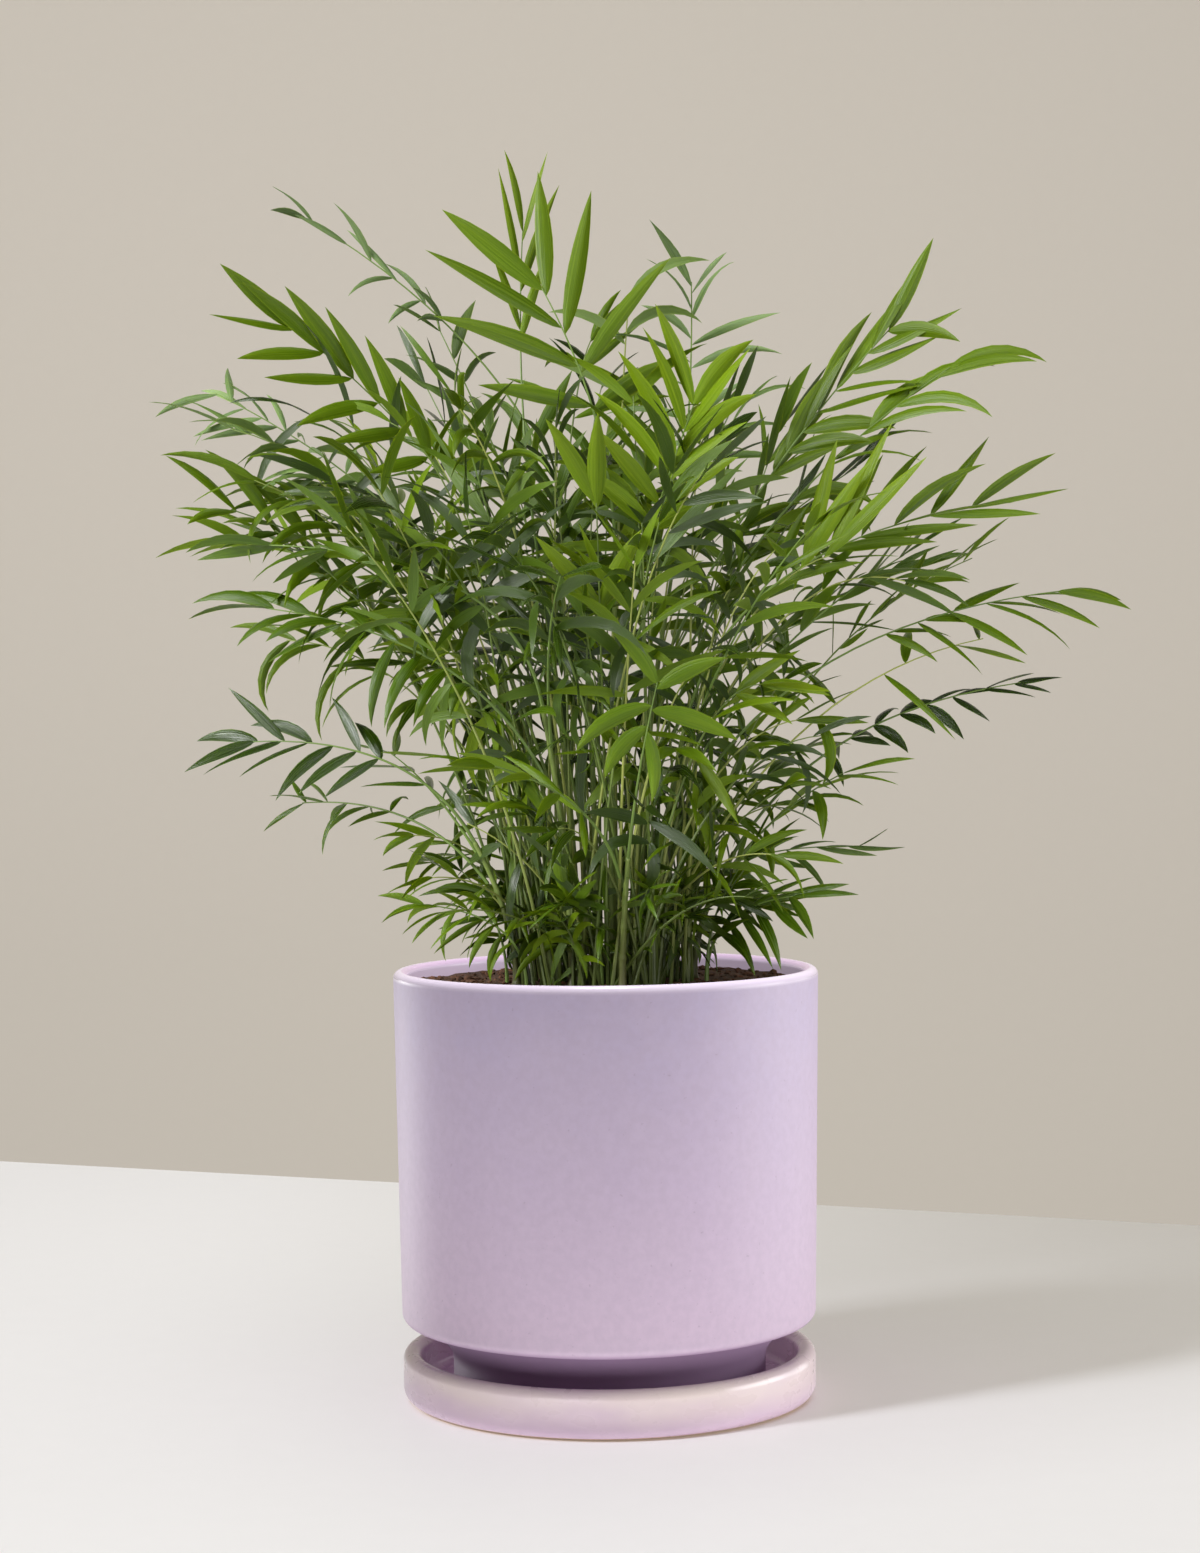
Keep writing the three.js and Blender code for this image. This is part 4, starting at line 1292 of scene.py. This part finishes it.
def make_palm():
    draws = Draws(SEED)
    stems = grow_stems(draws)
    fronds = grow_fronds(stems, draws)
    inner = grow_inner_fronds(Draws(INNER_SEED))
    make_canes(stems, cane_finish())
    make_ribs("frond_ribs", fronds, RIB_FOOT_RADIUS, rib_finish())
    make_ribs("inner_stalks", inner, INNER_STALK_RADIUS, stalk_finish())
    make_leaves(fronds, inner)


# Stage and light
TABLE_LEFT_BACK = (-0.474, 0.805)
TABLE_RIGHT_BACK = (0.396, 0.463)
TABLE_RUN, TABLE_DEPTH = 4, 6
WALL_DISTANCE, WALL_HALF_WIDTH, WALL_FOOT, WALL_TOP = 2.9, 4, -1.2, 3


def add_panel(name, corners, material):
    """A flat stage surface through its corners."""
    bm = bmesh.new()
    bm.faces.new([bm.verts.new(corner) for corner in corners])
    mesh = bpy.data.meshes.new(name)
    bm.to_mesh(mesh)
    bm.free()
    mesh.materials.append(material)
    panel = add_object(name, mesh)


def add_stage():
    """A pale table whose back edge runs off at a slant, before a plain warm grey wall."""
    left, right = Vector(TABLE_LEFT_BACK), Vector(TABLE_RIGHT_BACK)
    run = (right - left).normalized() * TABLE_RUN
    far_left, far_right = left - run, right + run
    add_panel("table_top", [
        (far_left.x, far_left.y - TABLE_DEPTH, 0), (far_right.x, far_right.y - TABLE_DEPTH, 0),
        (far_right.x, far_right.y, 0), (far_left.x, far_left.y, 0),
    ], plain_finish("pale table", srgb(233, 232, 233), 0.55))
    add_panel("wall", [
        (-WALL_HALF_WIDTH, WALL_DISTANCE, WALL_FOOT), (WALL_HALF_WIDTH, WALL_DISTANCE, WALL_FOOT),
        (WALL_HALF_WIDTH, WALL_DISTANCE, WALL_TOP), (-WALL_HALF_WIDTH, WALL_DISTANCE, WALL_TOP),
    ], plain_finish("warm grey wall", srgb(204, 196, 184), 0.9))


# Softboxes: place, what they face, width and height in metres, watts, and what they light
SOFTBOXES = {
    "overhead": ((0.1, -0.8, 1.9), (0, 0, 0.4), 0.7, 0.6, 12, "plant"),
    "left_front": ((-1.5, -0.9, 1.2), (0, 0, 0.4), 1, 1, 51, "plant"),
    "right_front": ((0.7, -1.6, 0.45), (0, 0, 0.35), 1, 0.8, 8, "plant"),
    "back": ((0.9, 1.7, 1.0), (0, 0, 0.4), 1.2, 1, 22, "plant"),
    "right_side": ((1.6, -0.08, 0.25), (0, 0, 0.1), 1.2, 0.8, 16.6, "vessel"),
    "right_rim": ((1.15, 0.7, 0.1), (0, 0, 0.1), 0.6, 0.6, 2.2, "vessel"),
    "left_rim": ((-1.12, 0.95, 0.0), (0, 0, 0.06), 0.6, 0.6, 6.2, "pot"),
    "table_glow": ((-0.12, -0.34, 0.004), (-0.12, -0.34, 1), 0.6, 0.42, 0.78, "vessel"),
    "dish_front": ((-0.5, -1.2, 0.1), (0, 0, 0.01), 0.8, 0.4, 2.4, "dish"),
    "inner_wall": ((0, -0.07, 0.9), (0, -0.07, 0.2), 0.12, 0.12, 7, "vessel"),
    "table_key": ((-6.14, -3.56, 5.56), (0, 0, 0), 1.36, 1.36, 610, "table_top"),
    "table_fill": ((0, -0.3, 2.9), (0, 0, 0), 3.2, 3.2, 41, "table_top"),
    "table_air": ((0, -0.3, 2.9), (0, 0, 0), 3.2, 3.2, 20, "table_top"),
    "wall_wash": ((-0.2, -3.4, 0.45), (0.4, 2.9, -0.3), 4, 2.6, 348, "wall"),
}
LIGHT_COLOURS = {
    "table_key": (0.9, 0.93, 1), "table_fill": (1, 0.955, 0.84), "table_air": (1, 0.955, 0.84),
}

# Lights that everything shades. The others are shaded only by what they light.
CASTS_SHADOWS = ("table_key", "table_fill")
VESSEL = ("glazed_pot", "glazed_saucer")
WORLD_STRENGTH = 0.11
WORLD_COLOUR = (1, 0.975, 0.94, 1)

# Where the flag's shade lies on the table, and how far up toward the key light the flag hangs
FLAG_SHADE = [(0.05, -0.02), (0.9, 0.47), (0.9, 1.3), (0.08, 1.3)]
FLAG_RISE = 0.25


def add_flag():
    """A flag that keeps the key light off the table behind the pot."""
    key = Vector(SOFTBOXES["table_key"][0])
    corners = [Vector((x, y, 0)).lerp(key, FLAG_RISE) for x, y in FLAG_SHADE]
    add_panel("flag", corners, plain_finish("black flag", srgb(20, 20, 20), 0.9))
    bpy.data.objects["flag"].visible_camera = False


def add_lights():
    """Soft light for the plant, a wash for the wall, and a key that lays a shadow on the table."""
    kinds = ("plant", "vessel", "pot", "dish", "table_top", "wall")
    lit = {name: bpy.data.collections.new(f"lit_{name}") for name in kinds}
    for piece in bpy.context.scene.objects:
        if piece.name in lit:
            lit[piece.name].objects.link(piece)
        elif piece.type == "MESH" and piece.name != "flag":
            lit["vessel" if piece.name in VESSEL else "plant"].objects.link(piece)
    lit["pot"].objects.link(bpy.data.objects["glazed_pot"])
    lit["dish"].objects.link(bpy.data.objects["glazed_saucer"])
    for name, (place, aim, width, height, watts, what) in SOFTBOXES.items():
        data = bpy.data.lights.new(name, "AREA")
        data.shape = "RECTANGLE"
        data.size, data.size_y = width, height
        data.energy = watts
        data.color = LIGHT_COLOURS.get(name, (1, 1, 1))
        light = add_object(name, data)
        turn = (Vector(aim) - Vector(place)).to_track_quat("-Z", "Y").to_matrix().to_4x4()
        light.matrix_world = Matrix.Translation(place) @ turn
        light.light_linking.receiver_collection = lit[what]
        if name not in CASTS_SHADOWS:
            light.light_linking.blocker_collection = lit[what]
        light.visible_camera = False
        light.visible_glossy = name != "back"
    world = bpy.data.worlds.new("studio")
    bpy.context.scene.world = world
    world.use_nodes = True
    background = world.node_tree.nodes["Background"]
    background.inputs["Color"].default_value = WORLD_COLOUR
    background.inputs["Strength"].default_value = WORLD_STRENGTH
    bpy.context.scene.view_settings.view_transform = "Standard"


add_camera()
make_pot(glaze_finish())
make_saucer(saucer_finish())
make_soil(soil_finish("potting mix", srgb(46, 32, 21), srgb(84, 57, 37)))
strew_crumbs(soil_finish("crumbs", srgb(58, 40, 27), srgb(110, 71, 47)))
make_palm()
add_stage()
add_flag()
add_lights()
